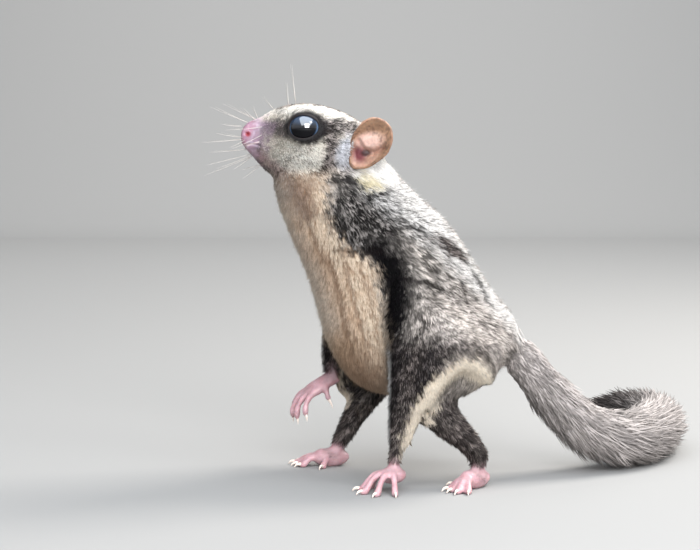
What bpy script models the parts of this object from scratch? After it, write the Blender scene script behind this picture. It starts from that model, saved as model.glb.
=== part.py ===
"""A sugar glider, life size, as a still model of a live animal set down on a flat floor.

It stands half upright on its left hand and its two hind feet, with its right hand lifted and its
bushy tail laid round behind it. The nose points to -X, the animal's left side to -Y, and the
floor is Z = 0. Every size below is in millimetres, and the meshes are made in metres.
"""

import math

import bmesh
import bpy
import numpy as np
from mathutils import Vector
from mathutils.bvhtree import BVHTree

MM = 0.001
GAP = 0.3
ORIGIN = np.array([24.227, 37.368, 0.0])

# Head: a row of upright sections from the nose pad to the back of the skull.
# Each gives x, the height of its top and of its underside, and its half width.
HEAD_STATIONS = [
    (-53.6, 113.6, 111.4, 0.9),
    (-53.2, 115.0, 110.3, 2.3),
    (-51.6, 116.9, 108.2, 3.5),
    (-49.4, 118.0, 105.6, 4.1),
    (-46.9, 119.3, 102.4, 5.0),
    (-43.6, 121.2, 99.4, 6.9),
    (-40.3, 122.4, 97.7, 9.1),
    (-36.3, 123.0, 96.4, 11.4),
    (-32.0, 123.1, 96.0, 13.1),
    (-27.4, 122.5, 96.6, 14.6),
    (-22.8, 121.3, 98.0, 15.3),
    (-18.2, 119.4, 99.7, 15.0),
    (-14.2, 116.8, 101.5, 13.6),
    (-10.4, 113.2, 103.6, 10.6),
    (-7.6, 110.0, 105.4, 6.6),
    (-6.6, 108.2, 106.8, 2.2),
]
HEAD_RINGS = 30
HEAD_SIDES = 28
HEAD_SQUARENESS = 2.15
HEAD_THINNING = 0.88

# Soft swellings of the head: x, y of the left one, z, reach and height.
HEAD_SWELLINGS = [
    (-30.5, -14.0, 104.5, 7.5, 1.2),
    (-47.3, -4.6, 111.5, 2.6, 0.6),
    (-32.5, -10.5, 119.5, 5.5, 0.7),
]

EYE_CENTRE = np.array([-32.3, -9.2, 115.3])
EYE_RADIUS = 5.8
EYE_AXIS = np.array([-0.22, -0.95, 0.2])
LID_RADIUS = 6.95
LID_OPENING = (63.0, 43.0)
LID_SIDES = 20

NOSTRIL_PLACE = (-51.9, 113.7)
NOSTRIL_RADII = (0.95, 0.9, 0.6)
MOUTH_GROOVE = 0.4
MOUTH_LINE = [(-52.4, 109.6), (-50.6, 110.1), (-48.4, 110.2), (-46.2, 109.6), (-44.4, 108.3)]
NOSE_GROOVE = 0.34
NOSE_GROOVE_HEIGHTS = (115.2, 109.8)

# Ear: a cup from its root on the head to its rim.
EAR_ROOT = np.array([-14.0, -13.6, 107.2])
EAR_MOUTH = np.array([-10.3, -20.0, 111.7])
EAR_FACING = np.array([-0.36, -0.93, 0.0])
EAR_LONG_WAY = np.array([0.36, -0.14, 0.92])
EAR_CENTRE_SHIFT = (-0.3, 0.0, 0.3)
EAR_RADIUS = 6.95
EAR_TOP = 0.35
EAR_LOW_CORNER = (160.0, 20.0, 2.6)
EAR_BACK_CUT = (238.0, 32.0, 1.1)
EAR_WALL = 0.8
EAR_LOW_RIM = 0.42
EAR_SIDES = 20

# Neck and body: tilted sections down the spine. Each gives the middle's x and z, the half depth
# from breast to back, the rise towards the back in degrees, and the half width.
BODY_STATIONS = [
    (-28.5, 108.5, 15.5, 12, 11.0),
    (-25.6, 102.6, 19.0, 8, 14.0),
    (-22.0, 95.8, 20.8, 7, 16.2),
    (-17.7, 88.8, 22.8, 10, 18.0),
    (-12.6, 81.8, 24.3, 14, 19.6),
    (-7.9, 74.0, 25.6, 16, 21.0),
    (-4.0, 65.4, 26.9, 18, 22.2),
    (-0.6, 57.3, 28.1, 19, 23.4),
    (3.6, 49.9, 28.8, 21, 24.2),
    (8.6, 43.3, 28.9, 22, 24.0),
    (13.6, 38.4, 26.6, 22, 22.2),
    (17.6, 34.6, 20.6, 22, 17.6),
    (20.3, 31.9, 12.0, 22, 10.5),
    (21.2, 31.0, 4.0, 22, 3.6),
]
NECK_RINGS = 6
TORSO_RINGS = 22
BODY_SIDES = 28
NECK_END = 3.0
BODY_SQUARENESS = 2.1

# Limbs: centre x, y, z, half size fore and aft, half size across, from root to end.
ARM_LEFT = [
    (-0.5, -11.5, 76.0, 7.0, 6.0),
    (1.0, -17.5, 66.0, 8.2, 6.8),
    (2.0, -21.8, 55.5, 8.8, 6.4),
    (1.6, -23.8, 46.0, 8.2, 5.6),
    (0.2, -24.4, 36.5, 6.6, 4.8),
    (-1.4, -24.4, 27.0, 5.1, 4.1),
    (-2.4, -24.2, 20.5, 4.1, 3.5),
    (-3.0, -24.0, 14.4, 3.4, 3.0),
]
ARM_RIGHT = [
    (-8.0, 10.5, 80.0, 6.6, 6.0),
    (-12.0, 16.5, 71.0, 7.6, 6.6),
    (-16.6, 20.4, 61.0, 7.4, 5.8),
    (-20.6, 20.6, 51.5, 6.4, 4.8),
    (-23.2, 19.8, 42.5, 5.2, 4.1),
    (-24.2, 18.8, 32.8, 4.1, 3.4),
]
LEG_LEFT = [
    (24.0, -10.0, 45.0, 11.0, 9.0),
    (17.5, -16.5, 41.0, 12.0, 8.0),
    (10.5, -20.5, 36.0, 10.6, 6.8),
    (7.2, -22.6, 29.4, 8.0, 5.4),
    (13.2, -22.2, 21.4, 6.0, 4.8),
    (20.4, -20.4, 14.2, 4.4, 3.9),
    (24.4, -18.6, 9.0, 3.6, 3.2),
]
LEG_RIGHT = [
    (18.0, 10.0, 46.0, 11.0, 9.0),
    (9.5, 16.5, 42.5, 11.6, 8.0),
    (0.5, 21.0, 38.0, 9.8, 6.6),
    (-7.4, 22.8, 31.0, 7.4, 5.4),
    (-13.4, 21.8, 22.0, 5.4, 4.6),
    (-18.4, 20.0, 14.0, 4.2, 3.7),
    (-20.8, 18.6, 8.6, 3.5, 3.1),
]
LIMB_RINGS = 12
KNEE = 3.3
KNEE_GAP = 0.035
LIMB_SIDES = 14

# Digits: bearing in degrees from straight ahead (-X) towards the camera side (-Y), and length.
HAND_DIGITS = [(-26, 7.4), (6, 10.4), (33, 11.6), (62, 11.8), (94, 9.6)]
FOOT_DIGITS = [(-58, 6.4), (-12, 8.4), (4, 9.2), (22, 11.0), (42, 10.4)]
HAND_LEFT_PALM = np.array([-4.6, -26.0, 5.2])
HAND_LEFT_COURSE = 40.0
HAND_RIGHT_WRIST = np.array([-23.2, 18.5, 31.2])
HAND_RIGHT_KNUCKLES = np.array([-33.0, 18.0, 24.6])
LIFTED_DIGITS = [(-4.4, 9.8), (-1.4, 11.2), (1.6, 11.6), (4.4, 9.8)]
FOOT_LEFT_HEEL = np.array([25.6, -17.6, 3.1])
FOOT_LEFT_BEARING = 43.0
FOOT_RIGHT_HEEL = np.array([-19.8, 18.2, 3.1])
FOOT_RIGHT_BEARING = 8.0
SOLE_LENGTH = 13.0
DIGIT_RADIUS = 1.25
PAD_HEIGHT = 0.74
DIGIT_SIDES = 5
CLAW_LENGTH = 3.2
CLAW_RADIUS = 0.62
CLAW_SIDES = 3

# Gliding membrane: where it leaves the flank, and its free hem from wrist to ankle.
FLANK_LEFT = [(-1.5, -19.5, 68.0), (10.0, -22.5, 61.0), (21.0, -22.5, 52.0), (29.0, -18.5, 42.5)]
HEM_LEFT = [
    (1.2, -24.4, 12.2), (3.4, -26.6, 21.0), (8.0, -29.0, 30.0), (14.0, -29.6, 37.0),
    (18.6, -28.2, 39.4), (22.2, -26.4, 36.4), (25.6, -23.4, 33.2), (28.2, -20.0, 33.6),
]
FLANK_RIGHT = [(-13.0, 20.0, 68.0), (-1.0, 22.8, 61.0), (11.0, 24.0, 51.0), (18.0, 21.6, 41.0)]
HEM_RIGHT = [
    (-22.8, 20.0, 34.6), (-23.6, 21.6, 28.4), (-21.6, 22.8, 23.4), (-14.6, 22.6, 21.6),
]
MEMBRANE_BULGE = 4.6
MEMBRANE_WALL = 2.4
MEMBRANE_ROWS = 7
MEMBRANE_COLUMNS = 13

# Tail: centre x, y, z, and the radius out to the tips of its coat.
TAIL_PATH = [
    (29.0, -1.0, 47.0, 6.0), (39.0, 0.0, 38.5, 7.2), (49.0, 2.0, 26.5, 8.6),
    (61.0, 6.0, 15.5, 10.0), (74.0, 14.0, 10.6, 10.8), (84.0, 27.0, 10.0, 11.2),
    (90.0, 43.0, 9.8, 11.0), (91.0, 60.0, 9.4, 10.4), (86.0, 77.0, 8.6, 8.4),
    (78.0, 90.0, 7.4, 4.0),
]
TAIL_CORE_SHARES = ((0.0, 0.1, 0.24), (0.95, 0.84, 0.46))
TAIL_CUTS = (0.0, 0.36, 0.68, 1.0)
TAIL_NODES = ("tail_base", "tail_middle", "tail_end")
TAIL_SIDES = 6
TAIL_SAMPLES = 61
TAIL_LENGTH = 158.0
TAIL_TIP_REACH = 20.0
TAIL_SEED = 11
LOCK_ROWS = 7
LOCKS_ROUND = 5
LOCK_LENGTH = 36.0
LOCK_SHARES = (0.07, 0.92)
LOCK_THINNING = 0.58
LOCK_WIDTHS = (0.4, 0.72, 0.66, 0.06)
LOCK_THICKNESSES = (1.6, 1.7, 1.5, 0.35)

SOLVER = "EXACT"

COLOURS = {
    "fur_grey": ((0.30, 0.28, 0.26), 0.9),
    "fur_cream": ((0.72, 0.60, 0.45), 0.9),
    "skin_pink": ((0.80, 0.47, 0.45), 0.5),
    "ear_skin": ((0.62, 0.38, 0.28), 0.5),
    "eye_dark": ((0.01, 0.01, 0.015), 0.05),
    "tail_grey": ((0.22, 0.20, 0.19), 0.9),
}


def empty_scene():
    """Removes whatever the scene holds, so that only the model is left in it."""
    for thing in list(bpy.data.objects):
        bpy.data.objects.remove(thing, do_unlink=True)


def new_collection(name):
    """A collection linked into the scene."""
    made = bpy.data.collections.new(name)
    bpy.context.scene.collection.children.link(made)
    return made


def material(name):
    """A Principled material with the colour and roughness named above."""
    made = bpy.data.materials.get(name)
    if made is None:
        colour, roughness = COLOURS[name]
        made = bpy.data.materials.new(name)
        made.use_nodes = True
        shader = made.node_tree.nodes["Principled BSDF"]
        shader.inputs["Base Color"].default_value = (*colour, 1.0)
        shader.inputs["Roughness"].default_value = roughness
        shader.inputs["Metallic"].default_value = 0.0
    return made


def unit(vector):
    """The vector at length one."""
    return np.asarray(vector, float) / np.linalg.norm(vector)


def through(stations, count, start=0.0, end=None):
    """Rows read from a Catmull-Rom curve through the stations, from one station number to another."""
    rows = np.array(stations, float)
    end = len(rows) - 1 if end is None else end
    padded = np.vstack([2 * rows[0] - rows[1], rows, 2 * rows[-1] - rows[-2]])
    at = np.linspace(start, end, count)
    first = np.clip(at.astype(int), 0, len(rows) - 2)
    t = (at - first)[:, None]
    before, here, after, beyond = (padded[first + k] for k in range(4))
    bend = 2 * before - 5 * here + 4 * after - beyond
    turn = 3 * here - before - 3 * after + beyond
    return here + 0.5 * ((after - before) * t + bend * t**2 + turn * t**3)


def oval(centre, across, upward, width, above, below, sides, squareness=2.0):
    """A closed ring: a superellipse with one half width and its own reach above and below."""
    angle = np.arange(sides) * 2 * np.pi / sides
    cosine, sine = np.cos(angle), np.sin(angle)
    sideways = np.sign(cosine) * np.abs(cosine) ** (2 / squareness) * width
    height = np.sign(sine) * np.abs(sine) ** (2 / squareness) * np.where(sine > 0, above, below)
    return np.asarray(centre) + np.outer(sideways, across) + np.outer(height, upward)


def solid(name, rings, group, paint="fur_grey"):
    """A closed mesh object through the rings, with a flat cap at each end."""
    rings = (np.asarray(rings, float) - ORIGIN) * MM
    made = bmesh.new()
    loops = [[made.verts.new(point) for point in ring] for ring in rings]
    for one, two in zip(loops, loops[1:]):
        for k in range(len(one)):
            n = (k + 1) % len(one)
            made.faces.new((one[k], one[n], two[n], two[k]))
    made.faces.new(loops[0][::-1])
    made.faces.new(loops[-1])
    bmesh.ops.recalc_face_normals(made, faces=made.faces)
    return finished(name, made, group, paint)


def finished(name, made, group, paint):
    """Turns a bmesh into a smooth-shaded object in a collection."""
    mesh = bpy.data.meshes.new(name)
    made.to_mesh(mesh)
    made.free()
    mesh.shade_smooth()
    mesh.materials.append(material(paint))
    thing = bpy.data.objects.new(name, mesh)
    group.objects.link(thing)
    return thing


def swollen(thing, distance, group):
    """A copy of an object with every point moved out along its normal, for cutting a clear gap."""
    made = bmesh.new()
    made.from_mesh(thing.data)
    made.normal_update()
    moves = [(vert, vert.normal * distance * MM) for vert in made.verts]
    for vert, move in moves:
        vert.co += move
    mesh = bpy.data.meshes.new("swollen")
    made.to_mesh(mesh)
    made.free()
    copy = bpy.data.objects.new("swollen", mesh)
    group.objects.link(copy)
    copy.hide_render = True
    copy.display_type = "WIRE"
    return copy


def apply_modifiers(thing):
    """Bakes an object's modifiers into its mesh."""
    graph = bpy.context.evaluated_depsgraph_get()
    mesh = bpy.data.meshes.new_from_object(thing.evaluated_get(graph))
    thing.modifiers.clear()
    thing.data = mesh


def keep_largest(thing):
    """Keeps only the closed surface that holds the most, so that a node stays one body."""
    made = bmesh.new()
    made.from_mesh(thing.data)
    bmesh.ops.triangulate(made, faces=made.faces)
    unseen = set(made.faces)
    shells = []
    while unseen:
        stack = [unseen.pop()]
        shell = []
        while stack:
            face = stack.pop()
            shell.append(face)
            for edge in face.edges:
                for other in edge.link_faces:
                    if other in unseen:
                        unseen.discard(other)
                        stack.append(other)
        held = sum(f.verts[0].co.dot(f.verts[1].co.cross(f.verts[2].co)) for f in shell)
        shells.append((held, shell))
    shells.sort(key=lambda pair: -pair[0])
    loose = [face for _, shell in shells[1:] for face in shell]
    bmesh.ops.delete(made, geom=loose, context="FACES")
    made.to_mesh(thing.data)
    made.free()


def boolean(thing, others, operation, solver=SOLVER):
    """Joins or cuts an object with others by one Boolean, applies it and removes the others."""
    group = bpy.data.collections.new("operands")
    bpy.context.scene.collection.children.link(group)
    for other in others:
        for owner in list(other.users_collection):
            owner.objects.unlink(other)
        group.objects.link(other)
    modifier = thing.modifiers.new("Boolean", "BOOLEAN")
    modifier.operation = operation
    modifier.solver = solver
    modifier.operand_type = "COLLECTION"
    modifier.collection = group
    bpy.context.view_layer.update()
    apply_modifiers(thing)
    for other in list(group.objects):
        bpy.data.objects.remove(other, do_unlink=True)
    bpy.data.collections.remove(group)
    keep_largest(thing)
    return thing


def thinned(thing, share):
    """Merges the smallest faces that a Boolean leaves, down to a share of their number."""
    fewer = thing.modifiers.new("Fewer", "DECIMATE")
    fewer.ratio = share
    bpy.context.view_layer.update()
    apply_modifiers(thing)
    keep_largest(thing)
    for vert in thing.data.vertices:
        vert.co.z = max(vert.co.z, 0.0)


def cut_clear(thing, neighbours, group, distance=GAP, solver=SOLVER):
    """Cuts an object back so that it meets each neighbour face to face with the usual gap."""
    for neighbour in neighbours:
        boolean(thing, [swollen(neighbour, distance, group)], "DIFFERENCE", solver)
    return thing


def floor_cutter(group):
    """A wide box below the floor, which gives hands, feet and tail their small flats."""
    made = bmesh.new()
    bmesh.ops.create_cube(made, size=1.0)
    for vert in made.verts:
        vert.co = Vector((vert.co.x * 0.5, vert.co.y * 0.5, vert.co.z * 0.02 - 0.01))
    return finished("floor", made, group, "fur_grey")


def mirrored(points, side):
    """Points given for the left side (-Y), or the same ones on the right where side is 1."""
    return np.asarray(points, float) * np.array([1.0, -side, 1.0])


def sphere(name, centre, radius, group, paint, segments, rings):
    """A ball with its poles on the camera's side, made from the primitive."""
    made = bmesh.new()
    bmesh.ops.create_uvsphere(made, u_segments=segments, v_segments=rings, radius=1.0)
    radii = np.broadcast_to(radius, 3)
    middle = np.asarray(centre) - ORIGIN
    for vert in made.verts:
        x, z, y = vert.co
        place = middle + np.array([x, -y, z]) * radii
        vert.co = Vector(place * MM)
    bmesh.ops.recalc_face_normals(made, faces=made.faces)
    return finished(name, made, group, paint)


def tube(name, path, group, radii, sides, paint="fur_grey", aspect=1.0, across=None):
    """A closed round rod along a path, with a radius at each point and an optional flattening."""
    path = np.asarray(path, float)
    tangents = np.gradient(path, axis=0)
    level = np.array([0.0, 0.0, 1.0]) if across is None else unit(across)
    rings = []
    for point, tangent, radius in zip(path, tangents, np.broadcast_to(radii, len(path))):
        side = unit(np.cross(tangent, level))
        up = unit(np.cross(side, tangent))
        rings.append(oval(point, side, up, radius, radius * aspect, radius * aspect, sides))
    return solid(name, rings, group, paint)


def on_side(tree, x, z, side):
    """The point of a surface at this x and height, seen square from one side."""
    start = (np.array([x, side * 80.0, z]) - ORIGIN) * MM
    hit = tree.ray_cast(Vector(start), Vector((0.0, -side, 0.0)))[0]
    return np.array(hit) / MM + ORIGIN


def on_front(tree, y, z):
    """The foremost point of a surface at this y and height."""
    start = (np.array([-120.0, y, z]) - ORIGIN) * MM
    hit = tree.ray_cast(Vector(start), Vector((1.0, 0.0, 0.0)))[0]
    return np.array(hit) / MM + ORIGIN


def surface_of(thing):
    """A search tree over an object's faces."""
    made = bmesh.new()
    made.from_mesh(thing.data)
    tree = BVHTree.FromBMesh(made)
    made.free()
    return tree


def head_shell(group):
    """The head's own form: a loft of upright ovals with the cheeks, brows and lip pads swollen."""
    rings = []
    for x, top, low, width in through(HEAD_STATIONS, HEAD_RINGS):
        middle = np.array([x, 0.0, (top + low) / 2])
        half = (top - low) / 2
        ring = oval(middle, (0, 1, 0), (0, 0, 1), width, half, half, HEAD_SIDES, HEAD_SQUARENESS)
        for bx, by, bz, reach, height in HEAD_SWELLINGS:
            for side in (-1, 1):
                away = ring - np.array([bx, -by * side, bz])
                rise = height * np.exp(-(away**2).sum(1) / (2 * reach**2))
                out = ring - middle
                ring = ring + out / np.linalg.norm(out, axis=1)[:, None] * rise[:, None]
        rings.append(ring)
    return solid("head", rings, group, "fur_grey")


def lid_ball(side, group):
    """The lids of one eye: a ball a little larger than the eye, open in front in a long oval."""
    axis = mirrored(unit(EYE_AXIS), side)
    centre = mirrored(EYE_CENTRE, side)
    along = unit(np.cross(axis, (0, 0, 1)))
    upward = unit(np.cross(along, axis))
    rings = []
    for share in (0.0, 0.12, 0.3, 0.55, 0.85):
        ring = []
        for a in np.arange(LID_SIDES) * 2 * np.pi / LID_SIDES:
            wide, high = np.radians(LID_OPENING)
            open_to = 1 / math.hypot(math.cos(a) / wide, math.sin(a) / high)
            tilt = open_to + (math.radians(150) - open_to) * share
            out = math.cos(a) * along + math.sin(a) * upward
            radius = LID_RADIUS - (0.25 if share == 0.0 else 0.0)
            ring.append(centre + radius * (math.cos(tilt) * axis + math.sin(tilt) * out))
        rings.append(ring)
    return solid("lids", rings, group, "fur_grey")


def mouth_cutter(tree, side, group):
    """A thin rod along one side of the mouth, half sunk in the lips' surface."""
    path = [on_side(tree, x, z, side) for x, z in through(MOUTH_LINE, 9)]
    path.insert(0, on_front(tree, side * 0.6, MOUTH_LINE[0][1] - 0.1))
    path.insert(0, on_front(tree, side * -0.5, MOUTH_LINE[0][1] - 0.2))
    radii = np.append(np.full(len(path) - 1, MOUTH_GROOVE), MOUTH_GROOVE * 0.4)
    return tube("mouth", path, group, radii, 6)


def nose_cutter(tree, group):
    """A thin upright rod that leaves the groove between the nostrils and down the lip."""
    path = [on_front(tree, 0.0, z) for z in np.linspace(*NOSE_GROOVE_HEIGHTS, 6)]
    return tube("groove", path, group, NOSE_GROOVE, 6, across=(1, 0, 0))


def make_head(group):
    """Head with lids, eye sockets, nostrils, the line of the mouth and the groove of the nose."""
    head = head_shell(group)
    tree = surface_of(head)
    cutters = [nose_cutter(tree, group)]
    for side in (-1, 1):
        boolean(head, [lid_ball(side, group)], "UNION")
        cutters.append(
            sphere("socket", mirrored(EYE_CENTRE, side), EYE_RADIUS + GAP, group, "fur_grey", 20, 10)
        )
        nostril = on_side(tree, *NOSTRIL_PLACE, side)
        cutters.append(sphere("nostril", nostril, NOSTRIL_RADII, group, "skin_pink", 8, 6))
        cutters.append(mouth_cutter(tree, side, group))
    for cutter in cutters:
        boolean(head, [cutter], "DIFFERENCE")
    thinned(head, HEAD_THINNING)
    return head


def make_eye(name, side, group):
    """One eyeball, in its socket."""
    return sphere(name, mirrored(EYE_CENTRE, side), EYE_RADIUS, group, "eye_dark", 18, 9)


def ear_outline(angle):
    """The ear's reach at an angle from its top: round, with a low front corner and a cut back."""
    reach = EAR_RADIUS + EAR_TOP * math.cos(angle)
    for (middle, spread, height), sign in ((EAR_LOW_CORNER, 1), (EAR_BACK_CUT, -1)):
        reach += sign * height * math.exp(-(((math.degrees(angle) - middle) / spread) ** 2))
    return reach


def make_ear(name, side, group):
    """One ear: a thin cup whose low front rim lies on the head and whose back stands out."""
    facing = unit(EAR_FACING)
    long_way = unit(EAR_LONG_WAY - facing * np.dot(EAR_LONG_WAY, facing))
    short_way = np.cross(facing, long_way)
    spread = through([(0.0,), (0.34,), (0.62,), (0.86,), (1.0,)], 6)[:, 0]
    rise = through([(0.0,), (0.06,), (0.3,), (0.66,), (1.0,)], 6)[:, 0]
    turns = np.arange(EAR_SIDES) * 2 * np.pi / EAR_SIDES
    made = bmesh.new()
    grid = []
    for wide, high in list(zip(spread, rise))[1:]:
        row = []
        for a in turns:
            reach = EAR_LOW_RIM + (1 - EAR_LOW_RIM) * (1 + math.cos(a)) / 2
            mouth = EAR_MOUTH + np.array(EAR_CENTRE_SHIFT) * high
            heart = EAR_ROOT + (mouth - EAR_ROOT) * high * reach
            out = (long_way * math.cos(a) + short_way * math.sin(a)) * ear_outline(a)
            place = mirrored(heart + out * wide, side)
            row.append(made.verts.new((place - ORIGIN) * MM))
        grid.append(row)
    root = made.verts.new((mirrored(EAR_ROOT, side) - ORIGIN) * MM)
    for k in range(EAR_SIDES):
        made.faces.new((root, grid[0][k], grid[0][(k + 1) % EAR_SIDES]))
    for one, two in zip(grid, grid[1:]):
        for k in range(EAR_SIDES):
            n = (k + 1) % EAR_SIDES
            made.faces.new((one[k], two[k], two[n], one[n]))
    bmesh.ops.recalc_face_normals(made, faces=made.faces)
    ear = finished(name, made, group, "ear_skin")
    wall = ear.modifiers.new("Wall", "SOLIDIFY")
    wall.thickness = EAR_WALL * MM
    wall.offset = 0.0
    wall.use_even_offset = True
    bpy.context.view_layer.update()
    apply_modifiers(ear)
    return ear


def body_rings(count, start, end, shift=0.0):
    """Sections of neck and body between two stations, moved a little along the spine if asked."""
    rings = []
    for x, z, depth, rise, width in through(BODY_STATIONS, count, start, end):
        angle = math.radians(rise)
        back = np.array([math.cos(angle), 0.0, math.sin(angle)])
        down = np.array([math.sin(angle), 0.0, -math.cos(angle)])
        middle = np.array([x, 0.0, z]) + down * shift
        rings.append(
            oval(middle, (0, 1, 0), back, width, depth, depth, BODY_SIDES, BODY_SQUARENESS)
        )
    return rings


def make_limb(name, stations, group, start=0.0, end=None, rings_in_all=LIMB_RINGS):
    """A length of an arm or leg: flattened rings along a smooth path, cut square at its ends."""
    rows = through(stations, rings_in_all, start, end)
    path = rows[:, :3]
    tangents = np.gradient(path, axis=0)
    rings = []
    for point, tangent, fore, across in zip(path, tangents, rows[:, 3], rows[:, 4]):
        side = unit(np.cross(tangent, (1.0, 0.0, 0.0)))
        ahead = unit(np.cross(side, tangent))
        rings.append(oval(point, side, ahead, across, fore, fore, LIMB_SIDES))
    return solid(name, rings, group, "fur_grey")


def bent_path(start, way, down, length, count=5):
    """A path whose direction turns evenly from one direction to another."""
    steps = np.linspace(0, 1, count - 1)[:, None]
    ways = unit(way) * (1 - steps) + unit(down) * steps
    ways = ways / np.linalg.norm(ways, axis=1)[:, None] * (length / (count - 1))
    return np.vstack([start, np.asarray(start) + np.cumsum(ways, axis=0)])


def digit(start, way, down, length, group, thick=1.0, grounded=True):
    """One finger or toe with its pad, and the curved claw that grows from its tip."""
    path = bent_path(start, way, down, length)
    radii = np.array([1.12, 0.96, 0.88, 1.0, 0.62]) * DIGIT_RADIUS * thick
    if grounded:
        share = np.linspace(0, 1, len(path)) ** 1.5
        drop = path[-2, 2] - radii[-2] * PAD_HEIGHT
        path[:, 2] -= drop * share / share[-2]
        path[-1, 2] = radii[-1] + 0.1
    finger = tube("digit", path, group, radii, DIGIT_SIDES, "skin_pink")
    lead = unit(path[-1] - path[-2]) * (1, 1, 0.3) if grounded else unit(path[-1] - path[-2])
    hook = bent_path(path[-2] + lead * 0.8, lead + (0, 0, 0.45), unit(down) + np.array([0, 0, -0.9]),
                     CLAW_LENGTH, 4)
    taper = np.array([1.0, 0.85, 0.6, 0.2]) * CLAW_RADIUS
    if grounded:
        hook[:, 2] = np.maximum(hook[:, 2], taper + 0.12)
    claw = tube("claw", hook, group, taper, CLAW_SIDES, "skin_pink")
    return [finger, claw]


def bearing(degrees):
    """The level direction this many degrees from straight ahead towards -Y."""
    angle = math.radians(degrees)
    return np.array([-math.cos(angle), -math.sin(angle), 0.0])


def palm_of(wrist, wrist_size, heart, ahead, half_length, half_width, half_height, group):
    """The palm or sole with the short stub that meets the limb above it."""
    across = unit(np.cross(ahead, (0, 0, 1)))
    share = np.linspace(-1, 1, 9)
    sizes = np.sqrt(np.clip(1 - (share * 0.98) ** 2, 0.03, 1))
    rings = [
        oval(heart + ahead * half_length * s, across, (0, 0, 1), half_width * r,
             half_height * r, half_height * r, 12)
        for s, r in zip(share, sizes)
    ]
    palm = solid("palm", rings, group, "skin_pink")
    stub_path = through([wrist, (np.asarray(wrist) + heart) / 2 + (0, 0, 0.6), heart], 5)
    stub = tube("stub", stub_path, group, np.linspace(wrist_size, wrist_size * 0.9, 5), 12,
                "skin_pink", across=(1, 0, 0))
    return [palm, stub]


def make_standing_hand(name, palm_centre, wrist_station, group):
    """The left hand, arched on its finger pads under the wrist with its digits spread."""
    wrist = np.array(wrist_station[:3]) + (0.0, 0.0, -GAP)
    ahead = bearing(HAND_LEFT_COURSE)
    pieces = palm_of(wrist, wrist_station[3] * 0.94, palm_centre, ahead, 4.8, 4.2, 2.9, group)
    for angle, length in HAND_DIGITS:
        way = bearing(angle)
        start = palm_centre + way * 2.2 + (0, 0, 0.5)
        pieces += digit(start, way + (0, 0, 0.3), way + (0, 0, -1.1), length, group)
    return joined(name, pieces, group)


def make_lifted_hand(name, wrist, knuckles, wrist_station, group):
    """The right hand, held out in the air with its fingers hooked down."""
    ahead = unit(knuckles - wrist)
    back = unit(np.cross((0, 1, 0), ahead))
    span = np.linalg.norm(knuckles - wrist)
    rows = through([(*wrist, 3.2, 2.9), (*(wrist + ahead * span * 0.35), 3.1, 2.4),
                    (*(wrist + ahead * span * 0.75), 4.6, 2.2), (*knuckles, 4.2, 1.4)], 7)
    turned = unit(np.array([-0.42, 1.0, 0.0]))
    rings = [oval(r[:3], turned, back, r[3], r[4], r[4], 12) for r in rows]
    end = np.array(wrist_station[:3])
    sleeve = unit(end - np.array(ARM_RIGHT[-2][:3]))
    stub_path = [end + sleeve * GAP, end + sleeve * 1.6, end + sleeve * 2.6 + ahead * 1.0]
    pieces = [
        solid("palm", rings, group, "skin_pink"),
        tube("stub", stub_path, group, [wrist_station[3] * 0.92, 3.0, 2.4], 12, "skin_pink",
             across=(1, 0, 0)),
    ]
    for offset, length in LIFTED_DIGITS:
        start = knuckles + turned * offset * 0.8 - ahead * (1.0 + 0.05 * offset**2)
        way = ahead + turned * offset * 0.09
        down = np.array([0.05, 0.0, -1.0]) + turned * offset * 0.05
        pieces += digit(start, way, down, length, group, 0.95, False)
    thumb = wrist + ahead * span * 0.42 - turned * 2.6 - (0.0, 0.0, 1.0)
    pieces += digit(thumb, (0.1, -0.35, -0.9), (0.35, -0.2, -0.9), 5.0, group, 0.85, False)
    return joined(name, pieces, group)


def make_foot(name, heel, course, limb_end, inward, group):
    """A hind foot flat on the floor: four toes ahead and the big toe set off to the inside."""
    ahead = bearing(course)
    heart = heel + ahead * (SOLE_LENGTH / 2 - 1.5)
    wrist = np.array(limb_end[:3]) + (0.0, 0.0, -GAP)
    pieces = palm_of(wrist, limb_end[3] * 0.95, heart, ahead, SOLE_LENGTH / 2, 3.5, 3.5, group)
    for angle, length in FOOT_DIGITS:
        way = bearing(course + angle * inward)
        start = heel + ahead * (SOLE_LENGTH - 5.6) + way * 1.2 + (0, 0, -0.2)
        if angle == FOOT_DIGITS[0][0]:
            start = heel + ahead * 5.0 + way * 1.4 + (0, 0, -0.4)
        pieces += digit(start, way + (0, 0, 0.3), way + (0, 0, -0.9), length, group)
    return joined(name, pieces, group)


def joined(name, pieces, group):
    """One closed body from overlapping pieces, levelled where it meets the floor."""
    first = pieces[0]
    first.name = name
    boolean(first, pieces[1:], "UNION")
    return boolean(first, [floor_cutter(group)], "DIFFERENCE")


def make_membrane(name, flank, hem, side, group):
    """The folded gliding skin of one side: a thick sheet from the flank down to its free hem."""
    top = through(flank, MEMBRANE_COLUMNS)
    low = through(hem, MEMBRANE_COLUMNS)
    outward = np.array([0.0, side, 0.0])
    share = np.linspace(0, 1, MEMBRANE_ROWS)
    outer, inner = [], []
    for high, free in zip(top, low):
        rows = high + (free - high) * share[:, None]
        puff = MEMBRANE_BULGE * np.sin(np.pi * np.clip(share, 0, 1)) ** 0.8
        rows = rows + outward * puff[:, None]
        wall = MEMBRANE_WALL * (1 - 0.35 * share**4)
        outer.append(rows)
        inner.append(rows - outward * wall[:, None] - outward * 3.0 * (1 - share[:, None]) ** 2)
    rings = [np.vstack([one, two[::-1]]) for one, two in zip(outer, inner)]
    return solid(name, rings, group, "fur_grey")


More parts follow.
